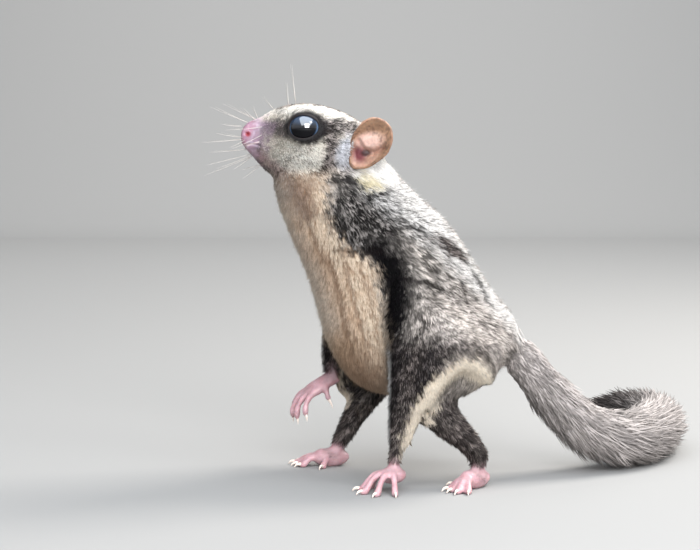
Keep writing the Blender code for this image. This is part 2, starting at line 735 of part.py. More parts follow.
def tail_frame(share):
    """Point, tangent, level side, upright and coat radius at a share of the tail's length."""
    rows = through(TAIL_PATH, TAIL_SAMPLES)
    place = min(max(share, 0.0), 1.0) * (TAIL_SAMPLES - 1)
    first = min(int(place), TAIL_SAMPLES - 2)
    row = rows[first] + (rows[first + 1] - rows[first]) * (place - first)
    tangent = unit(rows[first + 1, :3] - rows[first, :3])
    side = unit(np.cross(tangent, (0.0, 0.0, 1.0)))
    beyond = max(share - 1.0, 0.0) * TAIL_LENGTH
    radius = row[3] * max(1.0 - beyond / TAIL_TIP_REACH, 0.08)
    return row[:3] + tangent * beyond, tangent, side, np.cross(side, tangent), radius


def tail_core(group):
    """The tail's round core, which the locks grow from."""
    rings = []
    for share in np.linspace(0.0, 1.03, 15):
        point, _, side, up, radius = tail_frame(share)
        size = radius * float(np.interp(share, *TAIL_CORE_SHARES)) * (0.4 if share > 1.0 else 1.0)
        rings.append(oval(point, side, up, size, size, size, TAIL_SIDES))
    return solid("core", rings, group, "tail_grey")


def tail_lock(share, angle, length, group):
    """One flat tapered lock that leaves the core, bends along the lie and ends at the coat's edge."""
    shares = share + np.array([0.0, 0.2, 0.55, 1.0]) * length / TAIL_LENGTH
    lifts = (0.1, 0.66, 0.92, 0.95)
    rings = []
    for at, lift, wide, thick in zip(shares, lifts, LOCK_WIDTHS, LOCK_THICKNESSES):
        point, tangent, side, up, radius = tail_frame(at)
        out = side * math.cos(angle) + up * math.sin(angle)
        across = np.cross(tangent, out)
        heart = point + out * radius * lift
        wide = wide * radius
        lowest = max(abs(across[2]) * wide, abs(out[2]) * thick)
        heart[2] = max(heart[2], min(lowest, 2.2))
        rings.append([heart + across * wide - out * thick * 0.5, heart + out * thick,
                      heart - across * wide - out * thick * 0.5])
    return solid("lock", rings, group, "tail_grey")


def beyond_plane(share, forward, group):
    """A large box on one side of the plane that crosses the tail at this share of its length."""
    point, tangent, side, up, _ = tail_frame(share)
    way = tangent if forward else -tangent
    near = point - way * GAP / 2
    corners = []
    for reach in (0.0, 150.0):
        middle = near + way * reach
        corners.append([middle + side * a + up * b
                        for a, b in ((-90, -60), (90, -60), (90, 60), (-90, 60))])
    return solid("slab", corners, group, "tail_grey")


def make_tail(group):
    """The tail with its locks as one brush, parted across into three lengths."""
    random = np.random.default_rng(TAIL_SEED)
    brush = tail_core(group)
    locks = []
    for row, share in enumerate(np.linspace(*LOCK_SHARES, LOCK_ROWS)):
        for k in range(LOCKS_ROUND):
            angle = (k + 0.5 * (row % 2) + random.uniform(-0.12, 0.12)) * 2 * math.pi / LOCKS_ROUND
            length = LOCK_LENGTH * random.uniform(0.85, 1.12) * (0.75 + 0.25 * min(share * 4, 1))
            locks.append(tail_lock(share + random.uniform(-0.008, 0.008), angle, length, group))
    boolean(brush, locks, "UNION")
    boolean(brush, [floor_cutter(group)], "DIFFERENCE")
    thinned(brush, LOCK_THINNING)
    parts = []
    for name, start, end in zip(TAIL_NODES, TAIL_CUTS, TAIL_CUTS[1:]):
        part = bpy.data.objects.new(name, brush.data.copy())
        group.objects.link(part)
        if end < 1.0:
            boolean(part, [beyond_plane(end, True, group)], "DIFFERENCE", "MANIFOLD")
        if start > 0.0:
            boolean(part, [beyond_plane(start, False, group)], "DIFFERENCE", "MANIFOLD")
        parts.append(part)
    bpy.data.objects.remove(brush, do_unlink=True)
    return parts


def near_box(one, two):
    """Whether the boxes of two objects come within the usual gap of each other."""
    lows = [np.min([corner[:] for corner in thing.bound_box], axis=0) for thing in (one, two)]
    highs = [np.max([corner[:] for corner in thing.bound_box], axis=0) for thing in (one, two)]
    return bool((np.maximum(*lows) - np.minimum(*highs) < GAP * MM).all())


def main():
    """Builds every node in turn, each cut clear of the ones that came before it."""
    empty_scene()
    group = new_collection("sugar_glider")
    built = []

    def add(thing, solver=SOLVER):
        """Cuts one node clear of the earlier ones near it and keeps it."""
        near = [other for other in built if near_box(thing, other)]
        cut_clear(thing, near, group, GAP, solver)
        built.append(thing)

    add(make_head(group))
    for side, which in ((-1, "left"), (1, "right")):
        built.append(make_eye(f"eye_{which}", side, group))
    add(solid("torso", body_rings(TORSO_RINGS, NECK_END, len(BODY_STATIONS) - 1), group))
    add(solid("neck", body_rings(NECK_RINGS, 0.0, NECK_END, -GAP), group))
    for side, which in ((-1, "left"), (1, "right")):
        add(make_ear(f"ear_{which}", side, group), "MANIFOLD")
    add(make_limb("arm_left", ARM_LEFT, group))
    add(make_limb("arm_right", ARM_RIGHT, group))
    for which, stations in (("left", LEG_LEFT), ("right", LEG_RIGHT)):
        add(make_limb(f"thigh_{which}", stations, group, 0.0, KNEE, 7))
        add(make_limb(f"shin_{which}", stations, group, KNEE + KNEE_GAP, None, 7))
    add(make_standing_hand("hand_left", HAND_LEFT_PALM, ARM_LEFT[-1], group))
    add(make_lifted_hand("hand_right", HAND_RIGHT_WRIST, HAND_RIGHT_KNUCKLES, ARM_RIGHT[-1], group))
    add(make_foot("foot_left", FOOT_LEFT_HEEL, FOOT_LEFT_BEARING, LEG_LEFT[-1], 1, group))
    add(make_foot("foot_right", FOOT_RIGHT_HEEL, FOOT_RIGHT_BEARING, LEG_RIGHT[-1], -1, group))
    add(make_membrane("membrane_left", FLANK_LEFT, HEM_LEFT, -1, group), "MANIFOLD")
    add(make_membrane("membrane_right", FLANK_RIGHT, HEM_RIGHT, 1, group), "MANIFOLD")
    lengths = make_tail(group)
    add(lengths[0], "MANIFOLD")


main()
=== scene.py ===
# %% [markdown]
# # A sugar glider, life size
# A still model of a small gliding possum that leans on its left hand and looks up.
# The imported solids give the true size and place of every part. This lesson dresses them:
# one skin over all the flesh, a coat of small tufts, eyes, lids, ears, claws and whiskers.

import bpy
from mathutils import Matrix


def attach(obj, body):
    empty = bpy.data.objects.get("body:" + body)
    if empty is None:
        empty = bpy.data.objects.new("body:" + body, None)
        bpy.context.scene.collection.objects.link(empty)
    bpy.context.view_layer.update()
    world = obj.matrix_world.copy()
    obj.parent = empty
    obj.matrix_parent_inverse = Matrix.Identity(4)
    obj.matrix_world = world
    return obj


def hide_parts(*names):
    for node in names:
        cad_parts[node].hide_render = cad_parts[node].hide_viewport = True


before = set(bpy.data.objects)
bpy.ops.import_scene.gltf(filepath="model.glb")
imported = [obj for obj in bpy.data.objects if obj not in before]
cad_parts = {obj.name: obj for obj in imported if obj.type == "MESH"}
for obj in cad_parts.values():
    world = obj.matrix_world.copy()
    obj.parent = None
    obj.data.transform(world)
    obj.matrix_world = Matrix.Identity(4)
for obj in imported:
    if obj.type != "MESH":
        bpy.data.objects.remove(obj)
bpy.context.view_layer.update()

import math

import bmesh
import bpy
import numpy as np
from mathutils import Vector
from mathutils.bvhtree import BVHTree

print("nodes", len(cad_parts))

# %% [markdown]
# Lengths below are in millimetres on the plan that the solids were drawn on: x runs back
# from the nose, y away from the camera, z up from the floor. ORIGIN is the plan's point that
# became the world's origin. Curves between stations are Catmull-Rom, which passes through
# every station, so a few named sizes are enough for a limb or a hem.

# %% Measures and curves
ORIGIN = np.array([24.227, 37.368, 0.0])
MM = 0.001


def to_world(points):
    """Plan millimetres to world metres."""
    return (np.asarray(points, float) - ORIGIN) * MM


def to_plan(points):
    """World metres to plan millimetres."""
    return np.asarray(points, float) / MM + ORIGIN


def unit(vectors):
    """Each vector divided by its length."""
    vectors = np.asarray(vectors, float)
    return vectors / np.maximum(np.linalg.norm(vectors, axis=-1, keepdims=True), 1e-9)


def through(stations, count):
    """Rows on the Catmull-Rom curve: here + t(after-before)/2 + t^2(...)/2 + t^3(...)/2."""
    rows = np.array(stations, float)
    padded = np.vstack([2 * rows[0] - rows[1], rows, 2 * rows[-1] - rows[-2]])
    at = np.linspace(0, len(rows) - 1, count)
    first = np.clip(at.astype(int), 0, len(rows) - 2)
    t = (at - first)[:, None]
    before, here, after, beyond = (padded[first + k] for k in range(4))
    bend = 2 * before - 5 * here + 4 * after - beyond
    turn = 3 * here - before - 3 * after + beyond
    return here + 0.5 * ((after - before) * t + bend * t**2 + turn * t**3)


def step(low, high, value):
    """A soft step: 0 below low, 1 above high, and 3t^2 - 2t^3 between."""
    t = np.clip((value - low) / (high - low), 0, 1)
    return t * t * (3 - 2 * t)


def mirrored(points, side):
    """The left side's points (side -1), or their mirror image across y = 0 (side 1)."""
    return np.asarray(points, float) * (1, -side, 1)


def bell(value, width):
    """exp(-(value / width)^2): 1 at zero, and soft on both sides."""
    return np.exp(-((value / width) ** 2))


def turns(count):
    """This many even angles of one full turn."""
    return np.arange(count) * 2 * np.pi / count


def away_from(place, points):
    """The distance of each point from this place."""
    return np.linalg.norm(points - place, axis=1)


# %% [markdown]
# Every new piece is arrays of points and triangles. A closed tube is a profile carried along
# a path: at each station a ring of points, cosine times a side way plus sine times an up way,
# and a point that closes each end.

# %% Mesh makers
def mesh_of(name, points, triangles):
    """A mesh from plan points and rows of three corner numbers."""
    mesh = bpy.data.meshes.new(name)
    triangles = np.ascontiguousarray(triangles, np.int32)
    mesh.vertices.add(len(points))
    mesh.vertices.foreach_set("co", to_world(points).astype(np.float32).ravel())
    mesh.loops.add(triangles.size)
    mesh.loops.foreach_set("vertex_index", triangles.ravel())
    mesh.polygons.add(len(triangles))
    mesh.polygons.foreach_set("loop_start", np.arange(0, triangles.size, 3, dtype=np.int32))
    mesh.update(calc_edges=True)
    mesh.shade_smooth()
    return mesh


def shown(name, mesh, *finishes):
    """An object of this mesh in the scene, at the origin and unturned."""
    for finish in finishes:
        mesh.materials.append(finish)
    thing = bpy.data.objects.new(name, mesh)
    bpy.context.scene.collection.objects.link(thing)
    return thing


def moved(mesh, points):
    """Puts the mesh's points at these plan points."""
    mesh.vertices.foreach_set("co", to_world(points).astype(np.float32).ravel())
    mesh.update()


def rolled(rows, columns):
    """Triangles of a rows x columns grid that closes on itself across its columns."""
    r, c = np.meshgrid(np.arange(rows - 1), np.arange(columns), indexing="ij")
    n = (c + 1) % columns
    a, b, d, e = r * columns + c, r * columns + n, (r + 1) * columns + n, (r + 1) * columns + c
    return np.stack([a, b, d, a, d, e], -1).reshape(-1, 3)


def capped(rings):
    """A closed surface: the rings' grid and a fan to the middle of each end ring."""
    rows, columns = rings.shape[:2]
    points = np.vstack([rings.reshape(-1, 3), rings[0].mean(0), rings[-1].mean(0)])
    c = np.arange(columns)
    n = (c + 1) % columns
    last = (rows - 1) * columns
    first_fan = np.stack([n, c, np.full(columns, rows * columns)], -1)
    last_fan = np.stack([last + c, last + n, np.full(columns, rows * columns + 1)], -1)
    return points, np.vstack([rolled(rows, columns), first_fan, last_fan])


def tube(path, radii, sides, across, flat=1.0):
    """Ring k = path[k] + radius[k] (cos a side + flat sin a up), closed at both ends."""
    path = np.asarray(path, float)
    tangent = unit(np.gradient(path, axis=0))
    up = unit(np.cross(np.broadcast_to(across, path.shape), tangent))
    side = np.cross(tangent, up)
    cosine, sine = (wave(turns(sides))[None, :, None] for wave in (np.cos, np.sin))
    spoke = cosine * side[:, None] + flat * sine * up[:, None]
    radii = np.broadcast_to(radii, len(path))
    return capped(path[:, None] + spoke * radii[:, None, None])


def gathered(parts):
    """Several (points, triangles) pairs as one pair."""
    starts = np.cumsum([0] + [len(points) for points, _ in parts[:-1]])
    return (
        np.vstack([points for points, _ in parts]),
        np.vstack([triangles + start for (_, triangles), start in zip(parts, starts)]),
    )


# %% [markdown]
# Hands and feet: long thin fingers with a pad at each tip. Each digit bends evenly from one
# direction to another. The same function gives the claw's root, so that the claws, which are
# a separate horny piece, grow from the right place.

# %% Digits, palms and claws
DIGIT_RADIUS = 1.22
CLAW_LENGTH = 3.3
CLAW_RADIUS = 0.5
HAND_DIGITS = [(-26, 7.4), (6, 10.4), (33, 11.6), (62, 11.8), (94, 9.6)]
FOOT_DIGITS = [(-58, 6.4), (-12, 8.4), (4, 9.2), (22, 11.0), (42, 10.4)]
LIFTED_DIGITS = [(-4.4, 9.8), (-1.4, 11.2), (1.6, 11.6), (4.4, 9.8)]
PALM_SIDES = 20
HAND_LEFT_PALM = np.array([-4.6, -26.0, 5.2])
HAND_LEFT_WRIST = np.array([-3.0, -24.0, 14.1])
HAND_RIGHT_WRIST = np.array([-23.2, 18.5, 31.2])
HAND_RIGHT_KNUCKLES = np.array([-33.0, 18.0, 24.6])
FEET = [  # heel, course in degrees, side of the thumb, ankle, limb
    (np.array([25.6, -17.6, 3.1]), 43.0, 1, np.array([24.4, -18.6, 8.7]), "shin_left"),
    (np.array([-19.8, 18.2, 3.1]), 8.0, -1, np.array([-20.8, 18.6, 8.3]), "shin_right"),
]
bare_parts, cuffs, claws = [], [], []


def bent_path(start, way, down, length, count):
    """count points whose direction turns evenly from way to down, over this length."""
    steps = np.linspace(0, 1, count - 1)[:, None]
    ways = unit(unit(way) * (1 - steps) + unit(down) * steps) * length / (count - 1)
    return np.vstack([start, start + np.cumsum(ways, axis=0)])


def digit(start, way, down, length, thick=1.0, grounded=True):
    """Adds a finger with two knuckles and a tip pad, and the hooked claw at its end."""
    path = bent_path(np.asarray(start, float), way, down, length, 5)
    radii = np.array([1.12, 0.96, 0.88, 1.0, 0.62]) * DIGIT_RADIUS * thick
    if grounded:
        share = np.linspace(0, 1, 5) ** 1.5
        path[:, 2] -= (path[-2, 2] - radii[-2] * 0.74) * share / share[-2]
        path[-1, 2] = radii[-1] + 0.1
    lead = unit(path[-1] - path[-2])
    if grounded:
        lead = lead * (1, 1, 0.3)
    across = unit(np.cross(lead + (0.0, 0.0, 0.02), (0, 0, 1.0)))
    fine = through(np.column_stack([path, radii]), 22)
    share = np.linspace(0, 1, 22)
    swell = 1 + 0.1 * bell(share - 0.36, 0.07) + 0.12 * bell(share - 0.8, 0.1)
    fine[-3:, 3] *= (0.98, 0.86, 0.5)
    bare_parts.append(tube(fine[:, :3], fine[:, 3] * swell * 0.96, 14, across))
    hook = bent_path(path[-2] + lead * 0.8, lead + (0, 0, 0.45), unit(down) + (0, 0, -0.9),
                     CLAW_LENGTH, 9)
    taper = np.interp(np.linspace(0, 1, 9), [0, 0.5, 1], [1.0, 0.72, 0.1]) * CLAW_RADIUS * thick
    if grounded:
        hook[:, 2] = np.maximum(hook[:, 2], taper + 0.12)
    claws.append(tube(hook, taper, 8, across, 1.25))


def palm(heart, ahead, half_length, half_width, half_height, wrist, wrist_size, limb):
    """Adds an egg: rings of radius sqrt(1 - s^2) along its length, and the limb's cuff of fur."""
    across = unit(np.cross(ahead, (0, 0, 1)))
    share = np.linspace(-1, 1, 15)
    size = np.sqrt(np.clip(1 - (share * 0.99) ** 2, 0, 1))
    angle = turns(PALM_SIDES)
    up = np.array([0, 0, half_height])
    spoke = np.cos(angle)[:, None] * across * half_width + np.sin(angle)[:, None] * up
    rings = (heart + ahead * half_length * share[:, None])[:, None] + size[:, None, None] * spoke
    bare_parts.append(capped(rings))
    stub = through([wrist + (0, 0, 2.5), (wrist + heart) / 2 + (0, 0, 0.6), heart], 9)
    cuffs.append((limb, tube(stub, wrist_size, 16, (0, 1, 0))))


def bearing(degrees):
    """The level direction this many degrees from straight ahead (-x) towards the camera (-y)."""
    angle = math.radians(degrees)
    return np.array([-math.cos(angle), -math.sin(angle), 0.0])


# %% Hand and feet on the floor
palm(HAND_LEFT_PALM, bearing(40), 4.8, 4.2, 2.9, HAND_LEFT_WRIST, 3.0, "arm_left")
for angle, length in HAND_DIGITS:
    way = bearing(angle)
    digit(HAND_LEFT_PALM + way * 2.2 + (0, 0, 0.5), way + (0, 0, 0.3), way + (0, 0, -1.1), length)
for heel, course, inward, ankle, limb in FEET:
    ahead = bearing(course)
    palm(heel + ahead * 5.0, ahead, 6.5, 3.5, 3.5, ankle, 3.3, limb)
    for angle, length in FOOT_DIGITS:
        way = bearing(course + angle * inward)
        thumb = angle == FOOT_DIGITS[0][0]
        start = heel + (ahead * 5.0 + way * 1.4 - (0, 0, 0.4) if thumb
                        else ahead * 7.4 + way * 1.2 - (0, 0, 0.2))
        digit(start, way + (0, 0, 0.3), way + (0, 0, -0.9), length)

# %% The lifted hand
reach = HAND_RIGHT_KNUCKLES - HAND_RIGHT_WRIST
ahead = unit(reach)
turned = unit(np.array([-0.42, 1.0, 0.0]))
rows = through([(*HAND_RIGHT_WRIST, 3.2, 2.9), (*(HAND_RIGHT_WRIST + reach * 0.35), 3.1, 2.4),
                (*(HAND_RIGHT_WRIST + reach * 0.75), 4.6, 2.2), (*HAND_RIGHT_KNUCKLES, 4.2, 1.4)], 14)
angle = turns(PALM_SIDES)
back = unit(np.cross((0, 1, 0), ahead))
bare_parts.append(capped(rows[:, None, :3] + np.cos(angle)[:, None] * turned * rows[:, None, 3:4]
                         + np.sin(angle)[:, None] * back * rows[:, None, 4:5]))
cuff = np.array([-24.2, 18.8, 32.8])
sleeve = unit(cuff - (-23.2, 19.8, 42.5))
cuffs.append(("arm_right", tube([cuff - sleeve * 2, cuff + sleeve * 1.6, cuff + sleeve * 2.6 + ahead],
                                [3.7, 3.2, 2.4], 16, (0, 1, 0))))
for offset, length in LIFTED_DIGITS:
    start = HAND_RIGHT_KNUCKLES + turned * offset * 0.8 - ahead * (1.0 + 0.05 * offset**2)
    down = np.array([0.05, 0.0, -1.0]) + turned * offset * 0.05
    digit(start, ahead + turned * offset * 0.09, down, length, 0.95, False)
thumb = HAND_RIGHT_WRIST + reach * 0.42 - turned * 2.6 - (0.0, 0.0, 1.0)
digit(thumb, np.array([0.1, -0.35, -0.9]), np.array([0.35, -0.2, -0.9]), 5.0, 0.85, False)
print("bare parts", len(bare_parts), "claws", len(claws))

# %% [markdown]
# The tail's flesh is thin: most of a glider's tail is hair. It is a tube that tapers along
# the tail's path, and the coat's own radius at each place is kept for the hair's length.

# %% The tail's core
TAIL_PATH = [
    (29.0, -1.0, 47.0, 6.0), (39.0, 0.0, 38.5, 7.2), (49.0, 2.0, 26.5, 8.6),
    (61.0, 6.0, 15.5, 10.0), (74.0, 14.0, 10.6, 10.8), (84.0, 27.0, 10.0, 11.2),
    (90.0, 43.0, 9.8, 11.0), (91.0, 60.0, 9.4, 10.4), (86.0, 77.0, 8.6, 8.8),
    (78.0, 90.0, 7.4, 6.0), (71.6, 100.4, 6.4, 2.4),
]
tail = through(TAIL_PATH, 80)
tail_share = np.linspace(0, 1, 80)
core_radius = np.interp(tail_share, [0, 0.04, 0.15, 0.9, 1], [5.6, 5.2, 3.2, 1.4, 0.8])
root_end = np.array([[24.0, -1.0, 50.5, 6.0]])
core = np.vstack([root_end, tail])
tail_flesh = tube(core[:, :3], np.concatenate([[5.0], core_radius]), 16, (0.3, -1, 0.2))
print("tail length mm", round(float(np.linalg.norm(np.diff(tail[:, :3], axis=0), axis=1).sum()), 1))

# %% [markdown]
# One skin covers all the flesh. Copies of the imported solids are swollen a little, so that
# neighbours overlap across the thin gap between them, and a voxel remesh turns the heap of
# closed shapes into one closed surface, as a sculptor would blend clay. The claws and eyes
# are left out. Afterwards numpy smooths the facets away, most on the body, least on the face.

# %% Copies of the flesh
FLESH = ["head", "neck", "torso", "arm_left", "arm_right", "thigh_left", "thigh_right", "shin_left",
         "shin_right", "membrane_left", "membrane_right"]
BARE = ["hand_left", "hand_right", "foot_left", "foot_right"]
SWELLING = 0.32


def arrays_of(mesh):
    """Points in plan millimetres and triangles of a mesh."""
    mesh.calc_loop_triangles()
    points = np.empty(len(mesh.vertices) * 3, np.float32)
    mesh.vertices.foreach_get("co", points)
    triangles = np.empty(len(mesh.loop_triangles) * 3, np.int32)
    mesh.loop_triangles.foreach_get("vertices", triangles)
    return to_plan(points.reshape(-1, 3)), triangles.reshape(-1, 3)


def merged(points, triangles):
    """Corners at one place become one point, and triangles that fold up are dropped."""
    places, index = np.unique(np.round(points, 3), axis=0, return_inverse=True)
    triangles = index.reshape(-1)[triangles]
    whole = (triangles[:, 0] != triangles[:, 1]) & (triangles[:, 1] != triangles[:, 2]) & (
        triangles[:, 2] != triangles[:, 0])
    return places, triangles[whole]


def summed(index, values, count):
    """The rows of values added up by index."""
    return np.stack([np.bincount(index, values[:, k], count) for k in range(values.shape[1])], 1)


def normals_of(points, triangles):
    """At each point the unit sum of its triangles' cross products."""
    a, b, c = (points[triangles[:, k]] for k in range(3))
    cross = np.cross(b - a, c - a)
    return unit(summed(triangles.ravel(), np.repeat(cross, 3, axis=0), len(points)))


flesh, plain_parts, region_of_triangle = [], [], []


def heaped(part, region, swollen=None):
    """Adds a closed shape, or its swollen copy, to the flesh, and this region to its triangles."""
    flesh.append(swollen or part)
    plain_parts.append(part)
    region_of_triangle.extend([region] * len(part[1]))


for number, name in enumerate(FLESH):
    points, triangles = merged(*arrays_of(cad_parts[name].data))
    swollen = points + normals_of(points, triangles) * SWELLING
    heaped((points, triangles), number, (swollen, triangles))
for limb, part in cuffs + [("bare", part) for part in bare_parts]:
    heaped(part, len(FLESH) if limb == "bare" else FLESH.index(limb))
heaped(tail_flesh, len(FLESH) + 1)
region_of_triangle = np.array(region_of_triangle)

# %% One closed skin
VOXEL = 0.55


def evaluated(thing):
    """The thing's mesh with its modifiers worked out."""
    graph = bpy.context.evaluated_depsgraph_get()
    return bpy.data.meshes.new_from_object(thing.evaluated_get(graph))


heap = shown("heap", mesh_of("heap", *gathered(flesh)))
remesh = heap.modifiers.new("One skin", "REMESH")
remesh.mode = "VOXEL"
remesh.voxel_size = VOXEL * MM
skin_mesh = evaluated(heap)
bpy.data.objects.remove(heap)


def edges_of(mesh):
    """Pairs of corner numbers."""
    pairs = np.empty(len(mesh.edges) * 2, np.int32)
    mesh.edges.foreach_get("vertices", pairs)
    return pairs.reshape(-1, 2)


def relaxed(values, edges, rounds, share=1.0):
    """Round after round each row moves by its share towards the mean of its neighbours' rows."""
    count = len(values)
    one, two = edges[:, 0], edges[:, 1]
    degree = np.maximum(np.bincount(edges.ravel(), minlength=count), 1)[:, None]
    for _ in range(rounds):
        around = summed(one, values[two], count) + summed(two, values[one], count)
        values = values + (around / degree - values) * share
    return values


print("skin", len(skin_mesh.vertices), "points")

# %% [markdown]
# Each point of the skin learns which solid it came from, by the nearest face. Those labels
# are spread and softened along the surface, so the coat's depth, length and colours can pass
# smoothly from one part of the body to the next.

# %% Regions
COAT = {
    # area: depth, tufts per square mm, length, width, clump size
    "head": (0.75, 22.0, 1.5, 0.19, 0.8),
    "neck": (1.6, 18.0, 2.3, 0.24, 1.1),
    "torso": (2.1, 14.0, 2.5, 0.26, 1.3),
    "arm": (1.3, 20.0, 1.9, 0.22, 1.0),
    "leg": (1.3, 15.0, 2.1, 0.25, 1.2),
    "membrane": (0.75, 18.0, 1.9, 0.22, 1.0),
    "bare": (0.0, 0.0, 0.8, 0.15, 0.7),
    "tail": (0.0, 10.2, 11.0, 0.46, 1.7),
}
AREAS = list(COAT)
DEPTH, DENSITY, LENGTH, WIDTH, CLUMP = np.array(list(COAT.values())).T
AREA_OF = {name: name.split("_")[0] for name in FLESH}
AREA_OF.update({name: "leg" for name in FLESH if name.startswith(("thigh", "shin"))})
area_names = [AREA_OF[name] for name in FLESH] + ["bare", "tail"]
area_index = np.array([AREAS.index(name) for name in area_names])
all_points, all_triangles = gathered(plain_parts)
label_tree = BVHTree.FromPolygons([Vector(p) for p in all_points], all_triangles.tolist())


def nearest(tree, points):
    """For each point the number of the nearest triangle of the tree."""
    return np.array([tree.find_nearest(Vector(point))[2] for point in points])


def labelled(points, edges, rounds):
    """Soft weights of the eight areas at each point, each row adding up to 1."""
    solid = region_of_triangle[nearest(label_tree, points)]
    weights = np.zeros((len(points), len(AREAS)))
    weights[np.arange(len(points)), area_index[solid]] = 1
    return relaxed(weights, edges, rounds), solid


def weighed(area, measures):
    """The areas' measures added up by their weights."""
    return sum(area[name] * value for name, value in zip(AREAS, measures))


points, triangles = arrays_of(skin_mesh)
edges = edges_of(skin_mesh)
weights, solid_of = labelled(points, edges, 10)
area = dict(zip(AREAS, weights.T))

# %% Smooth the facets
face_like = np.clip(area["head"] * step(-18, -26, points[:, 0]) + area["bare"], 0, 1)
soft = relaxed(points, edges, 22, 0.6)
firm = relaxed(points, edges, 3, 0.5)
points = soft + (firm - soft) * face_like[:, None]
keep_floor = np.maximum(points[:, 2], 0.02)
points[:, 2] = np.where(area["bare"] > 0.5, keep_floor, points[:, 2])

# %% [markdown]
# The coat needs room: the skin sinks inside the solids by the coat's depth, about two
# millimetres on the body, less on the limbs and face, and nothing on the bare nose and hands.

# %% Sink the skin by the coat's depth
EYE_CENTRE = np.array([-32.3, -9.2, 115.3])
NOSE_TIP = np.array([-53.4, 0.0, 112.2])


def sides_folded(points):
    """The points with y turned to the camera's side, for what is alike on both sides."""
    return points * (1, 0, 1) - np.abs(points) * (0, 1, 0)


def coat_depth(points, area):
    """Millimetres from the skin to the coat's outside."""
    near_eye = away_from(EYE_CENTRE, sides_folded(points))
    depth = weighed(area, DEPTH) * (0.25 + 0.75 * step(7.0, 10.0, near_eye))
    return depth * step(5.0, 15.0, away_from(NOSE_TIP, points))


depth = coat_depth(points, area)
normal = unit(relaxed(normals_of(points, triangles), edges, 4))
points = points - normal * depth[:, None]
moved(skin_mesh, points)
print("coat depth from", round(float(depth.min()), 2), "to", round(float(depth.max()), 2))

# %% [markdown]
# The body's skin can be coarser, since the coat hides it, so a Decimate modifier thins the
# mesh where a vertex group says so. The snout is then divided again.

# %% Thin the body, refine the face
skin = shown("skin", skin_mesh)
group = skin.vertex_groups.new(name="body")
plainness = 1 - np.clip(area["head"] + area["bare"] * 1.5, 0, 1)
for level in (0.5, 1.0):
    chosen = np.flatnonzero(plainness > level - 0.3)
    group.add(chosen.tolist(), level, "REPLACE")
thinner = skin.modifiers.new("Thinner", "DECIMATE")
thinner.ratio = 0.55
thinner.vertex_group = "body"
thinner.vertex_group_factor = 1.0
thin_mesh = evaluated(skin)
skin.modifiers.clear()
skin.vertex_groups.clear()
skin.data = thin_mesh


def divided(mesh, chosen):
    """Divides the edges whose two ends are both chosen."""
    made = bmesh.new()
    made.from_mesh(mesh)
    made.verts.ensure_lookup_table()
    picked = [edge for edge in made.edges if chosen[edge.verts[0].index] and chosen[edge.verts[1].index]]
    bmesh.ops.subdivide_edges(made, edges=picked, cuts=1, use_grid_fill=True)
    bmesh.ops.triangulate(made, faces=made.faces)
    made.to_mesh(mesh)
    made.free()
    return arrays_of(mesh)


points, triangles = arrays_of(skin.data)
for reach in (13, 8):
    points, triangles = divided(skin.data, away_from(NOSE_TIP, points) < reach)
edges = edges_of(skin.data)
print("skin", len(points), "points", len(triangles), "triangles")

# %% [markdown]
# The face's small forms are moves of the skin along its normal: a groove for the mouth, a
# comma-shaped pit for each nostril, the cleft between them, and a low ridge along the lips.

# %% Nose and mouth
MOUTH_LINE = [(-52.6, 109.5), (-50.8, 110.0), (-49.2, 110.1), (-47.6, 109.8)]
NOSTRIL = np.array([-51.9, 113.6])


def nearest_on(path, points):
    """The number of the path's nearest row to each point, and the distance to it."""
    number, gap = [], []
    for block in np.array_split(points, 40):
        squares = ((block[:, None] - path[None]) ** 2).sum(-1)
        number.append(squares.argmin(1))
        gap.append(np.sqrt(squares.min(1)))
    return np.concatenate(number), np.concatenate(gap)


def from_line(flat, line):
    """Distance of points in a plane from a line of straight pieces, and the share along it."""
    line = np.asarray(line, float)
    best = np.full(len(flat), 1e9)
    share = np.zeros(len(flat))
    for k, (one, two) in enumerate(zip(line[:-1], line[1:])):
        way = two - one
        t = np.clip(((flat - one) @ way) / (way @ way), 0, 1)
        gap = np.linalg.norm(flat - one - t[:, None] * way, axis=1)
        share = np.where(gap < best, (k + t) / (len(line) - 1), share)
        best = np.minimum(best, gap)
    return best, share


from_nose = away_from(NOSE_TIP, points)
points = np.where((from_nose < 9)[:, None], relaxed(points, edges, 4, 0.5), points)
normal = normals_of(points, triangles)
flat = points[:, [0, 2]]
gap, _ = from_line(flat, through(MOUTH_LINE, 24))
mouth = bell(gap, 0.34) * (from_nose < 14)
lip = bell(gap - 0.8, 0.5) * (from_nose < 12)
to_side = flat - NOSTRIL
nostril = np.exp(-((to_side[:, 0] / 0.75) ** 2 + (to_side[:, 1] / 0.5) ** 2))
nostril = nostril * (np.abs(points[:, 1]) > 0.5)
cleft = bell(points[:, 1], 0.3) * step(-50.5, -52.5, points[:, 0])
cleft = cleft * (points[:, 2] > 109.6) * (points[:, 2] < 114.5)
points = points + normal * (0.14 * lip - 0.32 * mouth - 0.75 * nostril - 0.3 * cleft)[:, None]
moved(skin.data, points)
normal = normals_of(points, triangles)
weights, solid_of = labelled(points, edges, 8)
area = dict(zip(AREAS, weights.T))
depth = coat_depth(points, area)
print("areas", {name: int((value > 0.5).sum()) for name, value in area.items()})

# %% [markdown]
# Where hair lies: back from the nose, down the body, out along the limbs and the tail. Each
# area follows its own guide line, the direction at a point is the guide's there, laid flat on
# the skin, and then the whole field is smoothed so that partings run without a break.

